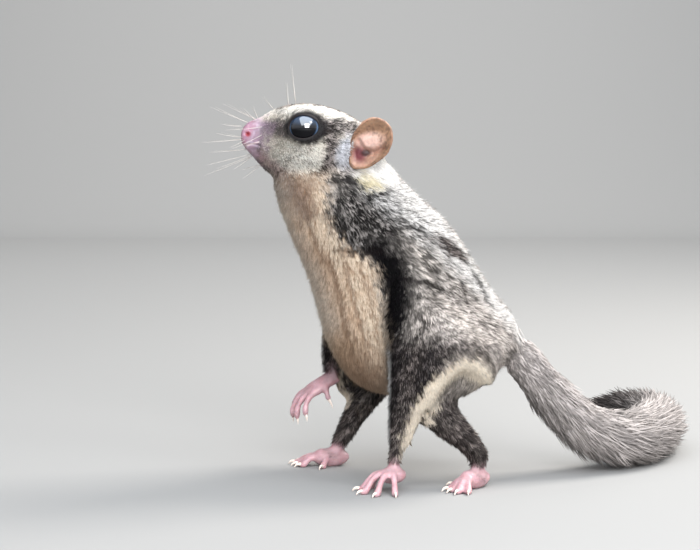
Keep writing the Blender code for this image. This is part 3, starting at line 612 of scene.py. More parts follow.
# %% The lie of the coat
GUIDE_ROWS = 60
GUIDES = {
    "head": [(-54, 0, 112), (-44, 0, 114), (-33, 0, 112.5), (-22, 0, 106), (-14, 0, 96), (-6, 0, 84)],
    "neck": [(-30, 0, 112), (-22, 0, 96), (-13, 0, 82), (-4, 0, 66)],
    "torso": [(-22, 0, 96), (-12.6, 0, 82), (-4, 0, 65), (4, 0, 50), (12, 0, 36), (24, 0, 26)],
    "arm_left": [(-0.5, -11.5, 76), (1, -17.5, 66), (2, -21.8, 55.5), (0.2, -24.4, 36.5), (-3, -24, 14)],
    "arm_right": [(-8, 10.5, 80), (-16.4, 20.4, 61), (-19.4, 20.6, 51.5), (-22.8, 18.6, 34.4)],
    "thigh_left": [(30, -10, 50), (17.5, -16.5, 41), (10.5, -20.5, 34), (7.2, -22.6, 27)],
    "thigh_right": [(24, 10, 50), (9.5, 16.5, 42.5), (0.5, 21, 38), (-7.4, 22.8, 28)],
    "shin_left": [(7.2, -22.6, 29.4), (13.2, -22.2, 21.4), (20.4, -20.4, 14.2), (25, -18, 6)],
    "shin_right": [(-7.4, 22.8, 31), (-13.4, 21.8, 22), (-18.4, 20, 14), (-21, 18.6, 6)],
    "membrane_left": [(-2, -24, 60), (8, -27, 44), (20, -29, 28)],
    "membrane_right": [(-16, 22, 60), (-8, 24, 44), (2, 24, 28)],
    "tail": [row[:3] for row in TAIL_PATH],
}


def along(points, guide):
    """The guide's direction at its point nearest to each point, and that point's share."""
    path = through(guide, GUIDE_ROWS)
    near, _ = nearest_on(path, points)
    return unit(np.gradient(path, axis=0))[near], near / (GUIDE_ROWS - 1)


def flat_on(vectors, normal):
    """The vectors with their part along the normal taken out, at length one."""
    return unit(vectors - (vectors * normal).sum(1, keepdims=True) * normal)


solid_names = FLESH + ["bare", "tail"]
lie = np.zeros_like(points)
for number, name in enumerate(solid_names):
    mine = solid_of == number
    if name == "bare":
        lie[mine] = (-0.4, 0, -1)
    elif mine.any():
        lie[mine] = along(points[mine], GUIDES[name])[0]
lie = flat_on(lie, normal)
for _ in range(10):
    lie = flat_on(relaxed(lie, edges, 4), normal)
print("lie of the coat on", len(lie), "points")

# %% [markdown]
# The markings are one set of soft shapes, worked out for every point of the skin, and the
# coat's tufts read them at their roots, so both carry the same pattern. They are drawn where
# a viewer at the animal's side sees them: seen() gives a point's place in that side view, in
# units of a third of a millimetre, and the far side uses the mirror image.

# %% Side view and soft shapes
VIEW_TARGET = np.array([-18.15, 0.0, 67.0])
VIEW_DISTANCE = 642.0
VIEW_ELEVATION = math.radians(5)
VIEW_BACK = np.array([0.0, -math.cos(VIEW_ELEVATION), math.sin(VIEW_ELEVATION)])
VIEW_UP = np.array([0.0, math.sin(VIEW_ELEVATION), math.cos(VIEW_ELEVATION)])
VIEW_SCALE = 100 / 36 * 700
MIDDLE_ACROSS, MIDDLE_DOWN = 350, 275


def seen(points):
    """Across and down in the side view: the offset from the view's middle over the distance."""
    offset = sides_folded(points) - (VIEW_TARGET + VIEW_BACK * VIEW_DISTANCE)
    away = -(offset @ VIEW_BACK)
    across = MIDDLE_ACROSS + offset[:, 0] / away * VIEW_SCALE
    return np.stack([across, MIDDLE_DOWN - offset @ VIEW_UP / away * VIEW_SCALE], 1)


def spot(at, centre, size, turn=0.0, soft=0.3):
    """1 inside a turned oval, 0 outside, with an edge that is soft by a share of its size."""
    c, s = math.cos(math.radians(turn)), math.sin(math.radians(turn))
    x, y = (at - centre).T
    reach = np.hypot((x * c + y * s) / size[0], (y * c - x * s) / size[1])
    return step(1 + soft, 1 - soft, reach)


def stroke(at, line, width, soft=0.5):
    """1 along a line of this width, or widths, fading out on both sides."""
    gap, share = from_line(at, line)
    wide = np.interp(share, np.linspace(0, 1, np.size(width)), np.ravel(width)) / 2
    return step(wide * (1 + soft), wide * (1 - soft), gap)


LATTICE = np.random.default_rng(5).uniform(-1, 1, 65536)
HASH = np.array([73856093, 19349663, 83492791])


def mottle(points, size, seed):
    """Smooth noise from -1 to 1: random values at a lattice's corners, blended in each cube."""
    place = points / size + seed * 17.3
    base = np.floor(place).astype(np.int64)
    t = place - base
    t = t * t * (3 - 2 * t)
    total = np.zeros(len(points))
    for corner in np.ndindex(2, 2, 2):
        cell = base + corner
        one, two, three = (cell * HASH).T
        key = one ^ two ^ three ^ (seed * 7919)
        share = np.prod(np.where(corner, t, 1 - t), axis=1)
        total += LATTICE[key & 65535] * share
    return total


def strokes(at, lines, swell, soft):
    """The largest of several strokes: each row is a line's places and, last, its width."""
    return np.maximum.reduce([stroke(at, line, width * swell, soft) for *line, width in lines])


def plain(paint, points):
    """One colour for every point."""
    return np.tile(paint, (len(points), 1)).astype(float)


def over(colour, mask, paint):
    """The colour with paint laid over it as far as the mask says."""
    return colour + (np.asarray(paint) - colour) * mask[:, None]


def layered(colour, *layers):
    """The colour with each layer's paint laid over it in turn, as far as its mask says."""
    for mask, paint in layers:
        colour = over(colour, mask, paint)
    return colour


# %% [markdown]
# The skin sinks where an ear's cup is, so that no fur shows through it.

# %% Room for the ears
EAR_ROOM = 3.0
hollow = spot(seen(points), (362, 153), (10, 13), 15, 0.5) * step(5, 9, np.abs(points[:, 1]))
points = points - normal * (EAR_ROOM * hollow)[:, None]
moved(skin.data, points)
normal = normals_of(points, triangles)

# %% Names for the coat's colours
WHITE = (0.88, 0.87, 0.84)
CREAM = (0.84, 0.77, 0.65)
PEACH = (0.72, 0.47, 0.30)
BUFF = (0.74, 0.60, 0.44)
ASH = (0.30, 0.28, 0.275)
SOOT = (0.018, 0.016, 0.018)
BROWN = (0.105, 0.072, 0.058)
PINK = (0.45, 0.275, 0.295)
MAUVE = (0.175, 0.115, 0.165)
YELLOW = (0.72, 0.62, 0.36)
# near black: the lids' own rim colour, and painted shade in the coat's partings
LID_BLACK_AND_PARTING_SHADE = (0.012, 0.009, 0.009)

# %% Body markings
BREAST_EDGE = [(150, 318), (185, 324), (205, 325), (225, 330), (240, 340), (250, 352), (262, 370),
               (275, 378), (290, 381), (315, 385), (345, 389), (380, 390)]
STRIPE = [(376, 250), (388, 262), (396, 281), (398, 300), (396, 322), (392, 345), (391, 385)]
ORANGE = [(292, 205), (306, 240), (322, 265), (334, 290), (343, 320), (350, 350), (360, 390)]
# the breast's creases: tufts lie lower along them, and painted shade darkens them
FOLDS = [
    ((344, 256), (349, 275), (355, 300), (362, 328), (366, 345), 3.0),
    ((330, 258), (337, 280), (343, 305), (350, 335), (354, 350), 3.0),
    ((361, 268), (368, 288), (373, 310), (379, 338), 2.5), ((312, 225), (318, 245), (326, 262), 2.5),
]
# lines of the partings: tufts lie lower along them, and painted shade darkens them
PARTINGS = [
    ((337, 249), (358, 253), (379, 251), 4.5), ((388, 232), (400, 229), (413, 226), 3.0),
    ((414, 229), (420, 232), (425, 236), 4.0), ((424, 254), (428, 256), (432, 259), 2.5),
    ((423, 268), (430, 270), (436, 272), 3.0), ((404, 279), (424, 284), (441, 290), 4.0),
    ((412, 294), (424, 298), (433, 300), 2.5), ((410, 313), (420, 318), (432, 326), 2.5),
    ((425, 327), (418, 336), (411, 345), 2.5), ((440, 338), (427, 350), (414, 366), 2.5),
    ((470, 274), (477, 286), (484, 302), 2.5), ((459, 284), (463, 296), (466, 306), 2.0),
    ((430, 345), (441, 352), (447, 359), 2.0), ((365, 197), (378, 195), (388, 190), 3.5),
]


BACK = [(372, 165), (395, 190), (418, 214), (442, 242), (472, 276), (500, 306), (522, 332)]


def body_markings(points, normal):
    """Breast, flank, shoulder, stripe and back as layers from the widest to the smallest."""
    at = seen(points)
    across, down = at.T
    wide, fine = mottle(points, 7.0, 1), mottle(points, 1.7, 2)
    lower = step(285, 320, down) * step(395, 440, across)
    shoulder = spot(at + 5 * wide[:, None], (363, 219), (43, 42), 20, 0.45)
    back = stroke(at + 3 * fine[:, None], BACK, (42, 46, 40, 30, 24, 24, 22), 0.6)
    arm_side = step(330, 352, down) * spot(at, (425, 375), (48, 45), 0, 0.3)
    wavy = at + 3.5 * fine[:, None] + 2.5 * wide[:, None]
    stripe = stroke(wavy, STRIPE, (22, 38, 34, 31, 30, 26, 20), 0.7)
    patch = stroke(at + fine[:, None], [(434, 238), (447, 248), (461, 260)], (8, 13, 8), 0.5)
    line = step(5.0, 1.5, np.abs(points[:, 1]) * 2)
    upward = step(-0.15, 0.35, normal[:, 2] * 0.6 + normal[:, 0] * 0.8)
    colour = layered(
        plain((0.60, 0.55, 0.50), points),
        (step(-0.5, 0.8, wide) * 0.2, ASH),
        (lower * 0.7, (0.68, 0.61, 0.56)),
        (shoulder * 0.92, (0.095, 0.088, 0.084)),
        (back * 0.8, (0.70, 0.69, 0.67)),
        (arm_side * 0.85, (0.13, 0.115, 0.105)),
        (stripe, (0.006, 0.005, 0.006)),
        # painted shade: a dark valley in the fur of the back
        (patch * 0.9, (0.045, 0.03, 0.026)),
        (line * upward * step(340, 300, down) * 0.9, BROWN),
    )
    edge = np.interp(down, *np.array(BREAST_EDGE).T)
    breast = step(9, -9, across - edge + 6 * wide + 5 * fine)
    under = step(0.2, -0.5, normal[:, 2]) * step(330, 350, down)
    breast = np.maximum(breast, under * step(395, 380, across))
    orange = stroke(at + 3 * wide[:, None], ORANGE, (12, 18, 22, 24, 26, 28, 30), 0.9)
    throat = stroke(at, [(278, 177), (298, 190), (308, 214)], (30, 32, 16), 0.8)
    pale_fringe_and_rim_light = breast * step(0.35, 0.95, -normal[:, 0]) * step(345, 320, down)
    crease = strokes(at + 1.5 * fine[:, None], FOLDS, 1.6, 0.8)
    fold = strokes(at + 1.2 * fine[:, None], PARTINGS, 1.1, 0.7)
    fold = fold * (0.8 - 0.4 * (points[:, 1] > 0))
    colour = layered(
        colour,
        (breast, (0.87, 0.74, 0.58)),
        (breast * orange * (0.75 + 0.2 * wide), (0.70, 0.46, 0.29)),
        (breast * throat * 0.95, (0.19, 0.125, 0.095)),
        # partly pale hair, partly a painted rim light: paler where the breast faces forward
        (pale_fringe_and_rim_light * 0.5, (0.93, 0.88, 0.80)),
        # painted shade: the breast's creases are painted brown
        (crease * breast * 0.6, (0.30, 0.18, 0.11)),
        # painted shade: the lower breast and belly are painted darker where they turn under the body
        (breast * step(320, 375, down) * 0.75, (0.27, 0.18, 0.125)),
        # painted shade: the partings are painted near black
        (fold, LID_BLACK_AND_PARTING_SHADE),
    )
    tick = np.maximum(0.75, shoulder) * (1 - 0.8 * stripe) * (1 - 0.65 * breast)
    fold = np.maximum(fold, crease * breast * 0.8)
    base = layered(colour * 0.28, (breast * 0.8, (0.42, 0.27, 0.17)), (breast * 0.2, PEACH))
    ripple = 0.7 + 0.3 * np.maximum(shoulder, step(330, 260, down))
    ripple = ripple * (1 - 0.9 * breast) * (1 - 0.75 * back)
    return colour, base, tick, fold, breast, ripple


# %% Face markings
CHEEK_EDGE = [(328, 128), (331, 143), (329, 158), (322, 172), (308, 180), (292, 184)]


def face_markings(points, normal):
    """Cream face, dark eye ring, brow patch, band to the ear, white before and below the ear."""
    at = seen(points)
    across, down = at.T
    wide, fine = mottle(points, 5.0, 3), mottle(points, 1.2, 4)
    shift = at + 1.4 * fine[:, None]
    crown = step(122, 112, down - (across - 300) * 0.12)
    line = step(3.6, 1.6, np.abs(points[:, 1]) + 0.5 * fine) * step(0.1, 0.5, normal[:, 2])
    band = stroke(shift, [(322, 124), (336, 126), (352, 129), (362, 135)], (12, 14, 17, 14), 0.6)
    cheek_edge = stroke(shift, CHEEK_EDGE, (13, 11, 8, 9, 11, 12), 0.6)
    behind_jaw = stroke(shift, [(300, 188), (314, 185), (326, 179)], (3, 4, 4), 0.6)
    jaw = step(166, 184, down + 0.12 * (across - 290) + 3 * wide)
    ring = spot(shift, (306, 127.7), (21.5, 16.8), 3, 0.14)
    mauve = step(282, 264, across + 0.25 * (down - 130) + 5 * fine) * step(118, 124, down)
    corner = stroke(shift, [(246, 150), (258, 156), (272, 166), (284, 176)], (7, 12, 13, 12), 0.8)
    lilac = step(269, 256, across + 0.2 * (down - 130) + 5 * fine)
    pink = step(256, 245, across + 0.1 * (down - 130) + 2 * wide + 3 * fine)
    lilac_skin = over(plain((0.27, 0.185, 0.235), points), step(-0.3, 0.6, fine), (0.46, 0.36, 0.43))
    mottled = step(-0.3, 0.8, wide + 0.4 * fine)
    pink_skin = over(plain((0.36, 0.19, 0.25), points), mottled, (0.43, 0.325, 0.395))
    lip = stroke(at, [(246, 145.5), (252, 144), (259, 142)], (1.6, 1.8, 1.2), 0.5)
    colour = layered(
        plain(CREAM, points),
        (crown * 0.7, (0.74, 0.71, 0.66)),
        (line * step(268, 285, across) * 0.9, BROWN),
        (spot(shift, (281, 128), (14, 9.5), 15, 0.5) * 0.85, (0.10, 0.08, 0.082)),
        (spot(shift, (300, 162), (30, 18), -8, 0.7) * 0.35, WHITE),
        (band * 0.85, (0.17, 0.15, 0.15)),
        (cheek_edge * 0.9, (0.09, 0.075, 0.07)),
        (spot(shift, (333, 154), (9, 22), 8, 0.6) * 0.8, (0.23, 0.20, 0.19)),
        (spot(shift, (345, 154), (9.5, 18), 12, 0.4) * 0.97, (0.70, 0.715, 0.77)),
        (spot(shift, (352, 169), (11, 7), 20, 0.5) * 0.9, (0.66, 0.66, 0.72)),
        (behind_jaw * 0.7, BROWN),
        (jaw * 0.75, (0.56, 0.45, 0.36)),
        (ring, (0.012, 0.008, 0.008)),
        (mauve * 0.9, MAUVE),
        # painted shade: the chin below the mouth's corner is painted darker
        (corner * 0.75, (0.24, 0.15, 0.15)),
        (lilac * 0.85, lilac_skin),
        (pink * 0.85, pink_skin),
        (spot(at, (248, 134), (2.6, 2.4), 0, 0.5) * 0.9, (0.30, 0.03, 0.04)),
        # partly the lip's pale edge, partly a painted highlight along it
        (lip * 0.8, (0.85, 0.68, 0.66)),
    )
    bare = np.maximum(np.maximum(pink, lilac * 0.85), np.maximum(mauve * 0.35, corner * 0.5))
    tick = 0.84 + 0.16 * np.maximum(band, cheek_edge)
    return colour, colour * 0.3, tick * (1 - 0.9 * ring), bare


def below_ear(points, colour):
    """The tufts under the ear, over face and neck alike: white, then yellowish, with a black spot."""
    at = seen(points) + 1.2 * mottle(points, 1.2, 4)[:, None]
    dark = stroke(at, [(331, 178), (342, 180), (354, 181)], (8, 11, 7), 0.5)
    return layered(
        colour,
        (spot(at, (372, 168), (18, 16), 20, 0.4) * 0.97, (0.93, 0.91, 0.87)),
        (spot(at, (367, 181), (12, 7), 20, 0.6) * 0.8, YELLOW),
        (dark, (0.008, 0.007, 0.008)),
    )


# %% Limbs, membrane and tail
HEM_LEFT = [(1.2, -24.4, 12.2), (3.4, -26.6, 21.0), (8.0, -29.0, 30.0), (14.0, -29.6, 37.0),
            (18.6, -28.2, 39.4), (22.2, -26.4, 36.4), (24.4, -24.6, 34.4)]
HEM_RIGHT = [(-22.8, 20.0, 34.6), (-23.6, 21.6, 28.4), (-21.6, 22.8, 23.4), (-14.6, 22.6, 21.6)]


def from_hem(points):
    """Distance to the nearer hem, a curve in space. The right hem counts as half as far again."""
    left, right = (nearest_on(through(hem, 40), points)[1] for hem in (HEM_LEFT, HEM_RIGHT))
    return np.minimum(left, right * 1.5)


def limb_markings(points, normal):
    """Dark grey-brown outside with fine partings painted as shade, cream inside, a white front rim, a
    cream hem.
    """
    fine, wide = mottle(points, 1.3, 6), mottle(points, 4.5, 7)
    front = step(0.2, -0.7, normal[:, 0])
    slope = points @ unit(np.array([0.62, 0.0, -0.78]))
    fold = step(0.35, 0.95, np.sin(slope * 2 * np.pi / 3.1 + 2.4 * wide + 1.4 * fine))
    outward = normal[:, 1] * np.sign(points[:, 1])
    inner = step(0.1, 0.6, -outward) * (points[:, 1] < 0)
    rim = step(-0.80, -0.96, normal[:, 0]) * step(50, 44, points[:, 2]) * step(12, 18, points[:, 2])
    hem = step(4.6, 2.6, from_hem(points) + 0.7 * fine)
    frill = spot(seen(points) + 2.5 * fine[:, None], (470, 378), (25, 21), 0, 0.5)
    frill = frill * (points[:, 1] < 0)
    colour = layered(
        plain((0.155, 0.132, 0.122), points),
        (step(-0.1, 0.9, wide) * 0.45, (0.36, 0.32, 0.29)),
        (front * step(14, 30, points[:, 2]) * 0.8, SOOT),
        (inner * 0.9, CREAM),
        (rim * 0.8, WHITE),
        (frill * 0.9, (0.80, 0.72, 0.62)),
        (hem * 0.97, (0.87, 0.79, 0.66)),
    )
    fold = fold * (1 - inner) * (1 - hem) * (1 - rim) * (1 - 0.8 * frill)
    # painted shade: the limbs' fine partings are painted near black
    colour = over(colour, fold * 0.85, SOOT)
    base = over(colour * 0.35, np.maximum(inner, hem), BUFF)
    pale = np.maximum(hem, frill)
    return colour, base, 0.65 * (1 - inner) * (1 - pale) + 0.1, fold * 0.8, pale


def tail_markings(points):
    """Grey, darker towards the tip."""
    _, share = along(points, GUIDES["tail"])
    colour = over(plain((0.34, 0.31, 0.295), points), step(0.5, 0.85, share), (0.045, 0.038, 0.036))
    return colour, colour * 0.5, np.full(len(points), 0.3), share


# %% All markings together
def markings(points, normal, area):
    """The areas' own markings mixed by their weights."""
    body, body_base, body_tick, body_fold, breast, body_ripple = body_markings(points, normal)
    face, face_base, face_tick, face_bare = face_markings(points, normal)
    limb, limb_base, limb_tick, limb_fold, hem = limb_markings(points, normal)
    brush, brush_base, brush_tick, share = tail_markings(points)
    at = seen(points)
    limbs = area["arm"] + area["membrane"] + area["leg"]
    left_limb = (points[:, 1] < 0) * np.clip(limbs, 0, 1)
    high = step(356, 330, at[:, 1]) * left_limb + (1 - left_limb) * step(40, 48, points[:, 2])
    haunch = step(0.3, 0.8, area["leg"]) * step(26, 32, points[:, 2])
    high = np.maximum(high, haunch * 0.8)
    w_body = area["torso"] + area["neck"] + limbs * high
    w_limb = limbs * (1 - high)
    total = w_body + w_limb + area["head"] + area["tail"] + area["bare"]
    shares = (w_body, area["head"], w_limb, area["tail"], area["bare"])

    def mix(*fields):
        """Body, face, limb, tail and bare fields added up by their shares."""
        rows = (w[:, None] * np.reshape(f, (len(points), -1)) for w, f in zip(shares, fields))
        return sum(rows) / total[:, None]

    zero = np.zeros(len(points))
    blush = step(-0.6, 0.9, mottle(points, 2.2, 9)) * 0.6
    pink = over(plain(PINK, points), blush, (0.38, 0.19, 0.21))
    colour = below_ear(points, mix(body, face, limb, brush, pink))
    base = mix(body_base, face_base, limb_base, brush_base, pink)
    tick = mix(body_tick, face_tick, limb_tick, brush_tick, zero)[:, 0] * (1 - 0.3 * area["leg"])
    tuft = spot(at, (372, 169), (19, 17), 20, 0.4)
    tick = tick * (1 - 0.75 * tuft)
    fold = mix(body_fold, zero, limb_fold, zero, zero)[:, 0]
    bare = mix(zero, face_bare, zero, zero, zero + 1)[:, 0]
    ripple = mix(body_ripple, zero + 0.25, 0.75 * (1 - hem), zero, zero)[:, 0] * (1 - tuft)
    return {"colour": colour, "base": base, "tick": tick, "fold": fold, "bare": bare,
            "breast": breast, "hem": hem, "share": share, "ripple": ripple}


marks = markings(points, normal, area)
print("marking colours from", marks["colour"].min(0).round(3), "to", marks["colour"].max(0).round(3))

# %% [markdown]
# Shader maths is written as plain expressions. A Value wraps one socket, each operator adds
# the Math node it stands for, and node() makes any other node.

# %% Shader values
class Value:
    """A socket that can be added, multiplied and so on."""

    def __init__(self, tree, socket):
        self.tree, self.socket = tree, socket

    def node(self, kind, settings=None, inputs=None, output=0):
        """Any node: its settings first, then its sockets' values or links."""
        made = self.tree.nodes.new(kind)
        for key, value in (settings or {}).items():
            setattr(made, key, value)
        for key, value in (inputs or {}).items():
            if isinstance(value, Value):
                self.tree.links.new(value.socket, made.inputs[key])
            else:
                made.inputs[key].default_value = value
        return Value(self.tree, made.outputs[output])

    def read(self, name, output=0):
        """A value stored on the mesh under this name."""
        return self.node("ShaderNodeAttribute", {"attribute_name": name}, output=output)

    def noise(self, scale, detail=2.0):
        """Noise of the object's own coordinates."""
        place = self.node("ShaderNodeTexCoord", output="Object")
        inputs = {"Vector": place, "Scale": scale, "Detail": detail}
        return self.node("ShaderNodeTexNoise", None, inputs)

    def times(self, factor):
        """A colour times a number."""
        return self.node("ShaderNodeVectorMath", {"operation": "SCALE"}, {0: self, "Scale": factor})

    def bump(self, strength, distance):
        """A normal from this height."""
        inputs = {"Height": self, "Strength": strength, "Distance": distance}
        return self.node("ShaderNodeBump", None, inputs)

    def between(self, low, high):
        """A colour from low to high as this value runs from 0 to 1."""
        inputs = {"Factor": self, "A": (*low, 1), "B": (*high, 1)}
        return self.node("ShaderNodeMix", {"data_type": "RGBA"}, inputs, 2)

    def math(self, operation, one, two):
        """The Math node of this operation."""
        return self.node("ShaderNodeMath", {"operation": operation}, {0: one, 1: two})

    def __add__(self, other):
        return self.math("ADD", self, other)

    def __sub__(self, other):
        return self.math("SUBTRACT", self, other)

    def __rsub__(self, other):
        return self.math("SUBTRACT", other, self)

    def __mul__(self, other):
        return self.math("MULTIPLY", self, other)

    def __pow__(self, other):
        return self.math("POWER", self, other)

    __radd__ = __add__
    __rmul__ = __mul__


def finish_of(name, **numbers):
    """A material, its shader node with fixed numbers set, and a start for expressions."""
    finish = bpy.data.materials.new(name)
    finish.use_nodes = True
    tree = finish.node_tree
    shader = next(node for node in tree.nodes if node.type == "BSDF_PRINCIPLED")
    for key, value in numbers.items():
        shader.inputs[key.replace("_", " ")].default_value = value
    return finish, shader, Value(tree, None)


def fed(shader, socket, value):
    """Links a value to one of the shader's sockets."""
    value.tree.links.new(value.socket, shader.inputs[socket])


# %% [markdown]
# Skin and fur read the markings from the mesh. Fur is rough and hardly glossy. The skin under
# it has a fine grain of short hair as bump, and where it is bare, on nose and hands, small
# wrinkles and a soft moist gloss.

# %% Fur and skin finishes
fur, fur_shader, start = finish_of("fur_grey", Roughness=0.8, Specular_IOR_Level=0.06)
fed(fur_shader, "Base Color", start.read("Marking").times(start.noise(900.0) * 0.5 + 0.75))

hide, hide_shader, start = finish_of("skin_pink", Specular_IOR_Level=0.4, Subsurface_Weight=0.12,
                                     Subsurface_Scale=0.001)
bareness = start.read("Bare", "Fac")
place = start.node("ShaderNodeTexCoord", output="Object")
crease = start.node("ShaderNodeTexVoronoi", {"feature": "DISTANCE_TO_EDGE"},
                    {"Vector": place, "Scale": 1100.0})
height = start.noise(1800.0, 3.0) * (1 - bareness) + crease * bareness * 0.5
fed(hide_shader, "Base Color", start.read("Marking").times(start.noise(520.0, 4.0) * 0.7 + 0.65))
fed(hide_shader, "Roughness", 0.8 - bareness * 0.45)
fed(hide_shader, "Normal", height.bump(0.7, 0.0004))


def painted(mesh, colours):
    """Stores one marking colour for each point of the mesh."""
    layer = mesh.attributes.new("Marking", "FLOAT_COLOR", "POINT")
    rows = np.column_stack([colours, np.ones(len(colours))]).astype(np.float32)
    layer.data.foreach_set("color", rows.ravel())


def numbered(mesh, name, values):
    """Stores one number for each point of the mesh."""
    layer = mesh.attributes.new(name, "FLOAT", "POINT")
    layer.data.foreach_set("value", values.astype(np.float32))


painted(skin.data, over(marks["base"], marks["bare"], marks["colour"]))
numbered(skin.data, "Bare", marks["bare"])
skin.data.materials.append(hide)
skin.data.shade_smooth()
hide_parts(*FLESH, *BARE, "tail_base", "tail_middle", "tail_end")
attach(skin, "root")

# %% [markdown]
# The coat is solid tufts, each one thin closed blade. Short fur on the body is a spike of
# four points: a root triangle just under the skin and a tip. The long hair of the tail has one
# ring more, so that it bends. Roots are drawn at random over the skin's triangles, seeded,
# with more of them where the hair is fine.

# %% Roots of the tufts
random = np.random.default_rng(21)
corner = [points[triangles[:, k]] for k in range(3)]
size = np.linalg.norm(np.cross(corner[1] - corner[0], corner[2] - corner[0]), axis=1) / 2
density = weighed(area, DENSITY) * step(0.8, 0.35, marks["bare"])
eye_away = sides_folded(points) - EYE_CENTRE
eye_gap = np.linalg.norm(eye_away, axis=1)
density = density * step(6.15, 6.5, eye_gap) * step(0.7, 0.3, hollow)
chance = size * density[triangles].mean(1)
count = int(chance.sum())
picked = np.searchsorted(np.cumsum(chance), random.uniform(0, chance.sum(), count))
picked = np.clip(picked, 0, len(triangles) - 1)
one, two = random.uniform(0, 1, (2, count))
flip = one + two > 1
one, two = np.where(flip, 1 - one, one), np.where(flip, 1 - two, two)
share_of = np.stack([1 - one - two, one, two], 1)


def at_roots(field):
    """A field of the skin's points, read at the roots."""
    rows = field[triangles[picked]]
    return np.einsum("ij,ij...->i...", share_of, rows)


eye_away[:, 1] *= np.where(points[:, 1] > 0, -1, 1)
lie = flat_on(lie + unit(eye_away) * (1.6 * step(9.5, 7.2, eye_gap))[:, None], normal)
root = at_roots(points)
root_normal = unit(at_roots(normal))
root_lie = flat_on(at_roots(lie), root_normal)
area_at_root = dict(zip(AREAS, at_roots(weights).T))
is_head, tail_part = area_at_root["head"], area_at_root["tail"]
root_depth = at_roots(depth)
print("tufts", count, "on", round(float(size.sum())), "square mm of skin")

# %% Streaks, cracks and clumps
DOWN_BODY, ROUND_BODY = unit(np.array([0.42, 0, -0.91])), unit(np.array([0.91, 0, 0.42]))


def streaks(places, down, round_body, seed):
    """Noise stretched over these lengths down the body and round it, as 0 to 1 dark streaks."""
    stretched = np.stack([places @ DOWN_BODY / down, places @ ROUND_BODY / round_body,
                          places[:, 1] / round_body], 1)
    return step(0.05, 0.6, mottle(stretched, 1.0, seed))


def cracks(places, size, seed):
    """Thin winding lines, where smooth noise of this size passes through zero."""
    winding = mottle(places, size, seed) + 0.35 * mottle(places, size / 3, seed + 1)
    return step(0.2, 0.04, np.abs(winding))


def clumped(places, size, seed):
    """The mean place of the roots that share a cell of a wavy lattice of this size."""
    wave = np.stack([mottle(places, 2.4, seed + k) for k in range(3)], 1) * size[:, None] * 0.6
    cell = np.floor((places + wave) / size[:, None]).astype(np.int64)
    key = (cell[:, 0] * 1000003 + cell[:, 1]) * 1000003 + cell[:, 2]
    _, index = np.unique(key, return_inverse=True)
    index = index.reshape(-1)
    total = np.bincount(index)[:, None]
    return (summed(index, places, len(total)) / total)[index], index


heart, clump = clumped(root, np.round(weighed(area_at_root, CLUMP), 1), 11)

# %% [markdown]
# What shows of a tuft is its middle and tip, so the marking is read a little down its lie from
# the root. An edge is feathered, because each clump, and each tuft, strays from its place. The
# partings are read without the stray, so that they stay sharp.

# %% Where each tuft reads the markings
stray = random.normal(0, 0.55, (clump.max() + 1, 3))[clump] + random.normal(0, 0.25, (count, 3))
distance = np.linalg.norm(stray, axis=1, keepdims=True)
stray = flat_on(stray, root_normal) * distance * (1 - 0.6 * is_head)[:, None]
by_eye = step(6.2, 9.0, away_from(EYE_CENTRE, sides_folded(root)))
mean_length = weighed(area_at_root, LENGTH)
reach = 0.5 * np.minimum(mean_length, 2.6) * (0.4 + 0.6 * by_eye) * (1 - 0.3 * is_head)
ahead = root_lie * reach[:, None]
root_marks = markings(root + ahead + stray, root_normal, area_at_root)
root_marks["fold"] = markings(root + ahead, root_normal, area_at_root)["fold"]

# %% [markdown]
# Hair is shorter on the snout and round the eye, and longer under the ear. Tufts lie lower in
# the partings, in the furrows of the breast and along thin cracks between the clumps. A few
# stray hairs stand higher than the rest.

# %% Length and width
vary = random.uniform(0.75, 1.2, count)
long = mean_length * vary * (1 + 0.35 * root_marks["hem"])
wide = weighed(area_at_root, WIDTH) * random.uniform(0.8, 1.25, count)
snout = 1 + (step(8, 24, away_from(NOSE_TIP, root)) - 1) * 0.62 * is_head
long, wide = long * snout, wide * (0.45 + 0.55 * snout)
long, wide = long * (0.4 + 0.6 * by_eye), wide * (0.7 + 0.3 * by_eye)
by_ear = spot(seen(root), (370, 170), (20, 14), 20, 0.4)
long = long * (1 + 0.8 * by_ear) * (1 - 0.5 * spot(seen(root), (351, 148), (8, 20), 0, 0.4))

# %% Lift
FLY_SHARE = 0.06
TIP_HAIR = 7.0
lift = np.maximum(root_depth, 0.3) * random.uniform(0.7, 1.15, count)
breast_part = root_marks["breast"] * (1 - is_head)
gaps = np.maximum(cracks(root, 2.3, 16), 0.8 * cracks(root, 1.3, 18))
ripple = np.maximum(0.9 * streaks(root, 1.3, 3.8, 12), gaps) * root_marks["ripple"]
furrow = np.maximum(0.22 * streaks(root, 9.0, 2.6, 14), 0.6 * streaks(root, 2.0, 1.4, 15))
furrow = furrow * breast_part
lift = lift * (1 - 0.55 * np.maximum(root_marks["fold"], np.maximum(0.8 * ripple, 0.7 * furrow)))
fly = (random.uniform(0, 1, count) < FLY_SHARE) * step(0.8, 1.6, root_depth)
lift = lift + fly * random.uniform(0.3, 1.3, count)
wide = wide * (1 - 0.4 * fly)
tail_radius = np.interp(root_marks["share"], tail_share, tail[:, 3])
out = tail_radius - np.interp(root_marks["share"], tail_share, core_radius)
tip_hair = TIP_HAIR * step(0.86, 1.0, root_marks["share"])
long = long + (np.clip(out * 1.5, 5, 14) * vary + tip_hair - long) * step(0.4, 0.9, tail_part)
lift = lift + (out * random.uniform(0.45, 1.0, count) - lift) * step(0.4, 0.9, tail_part)

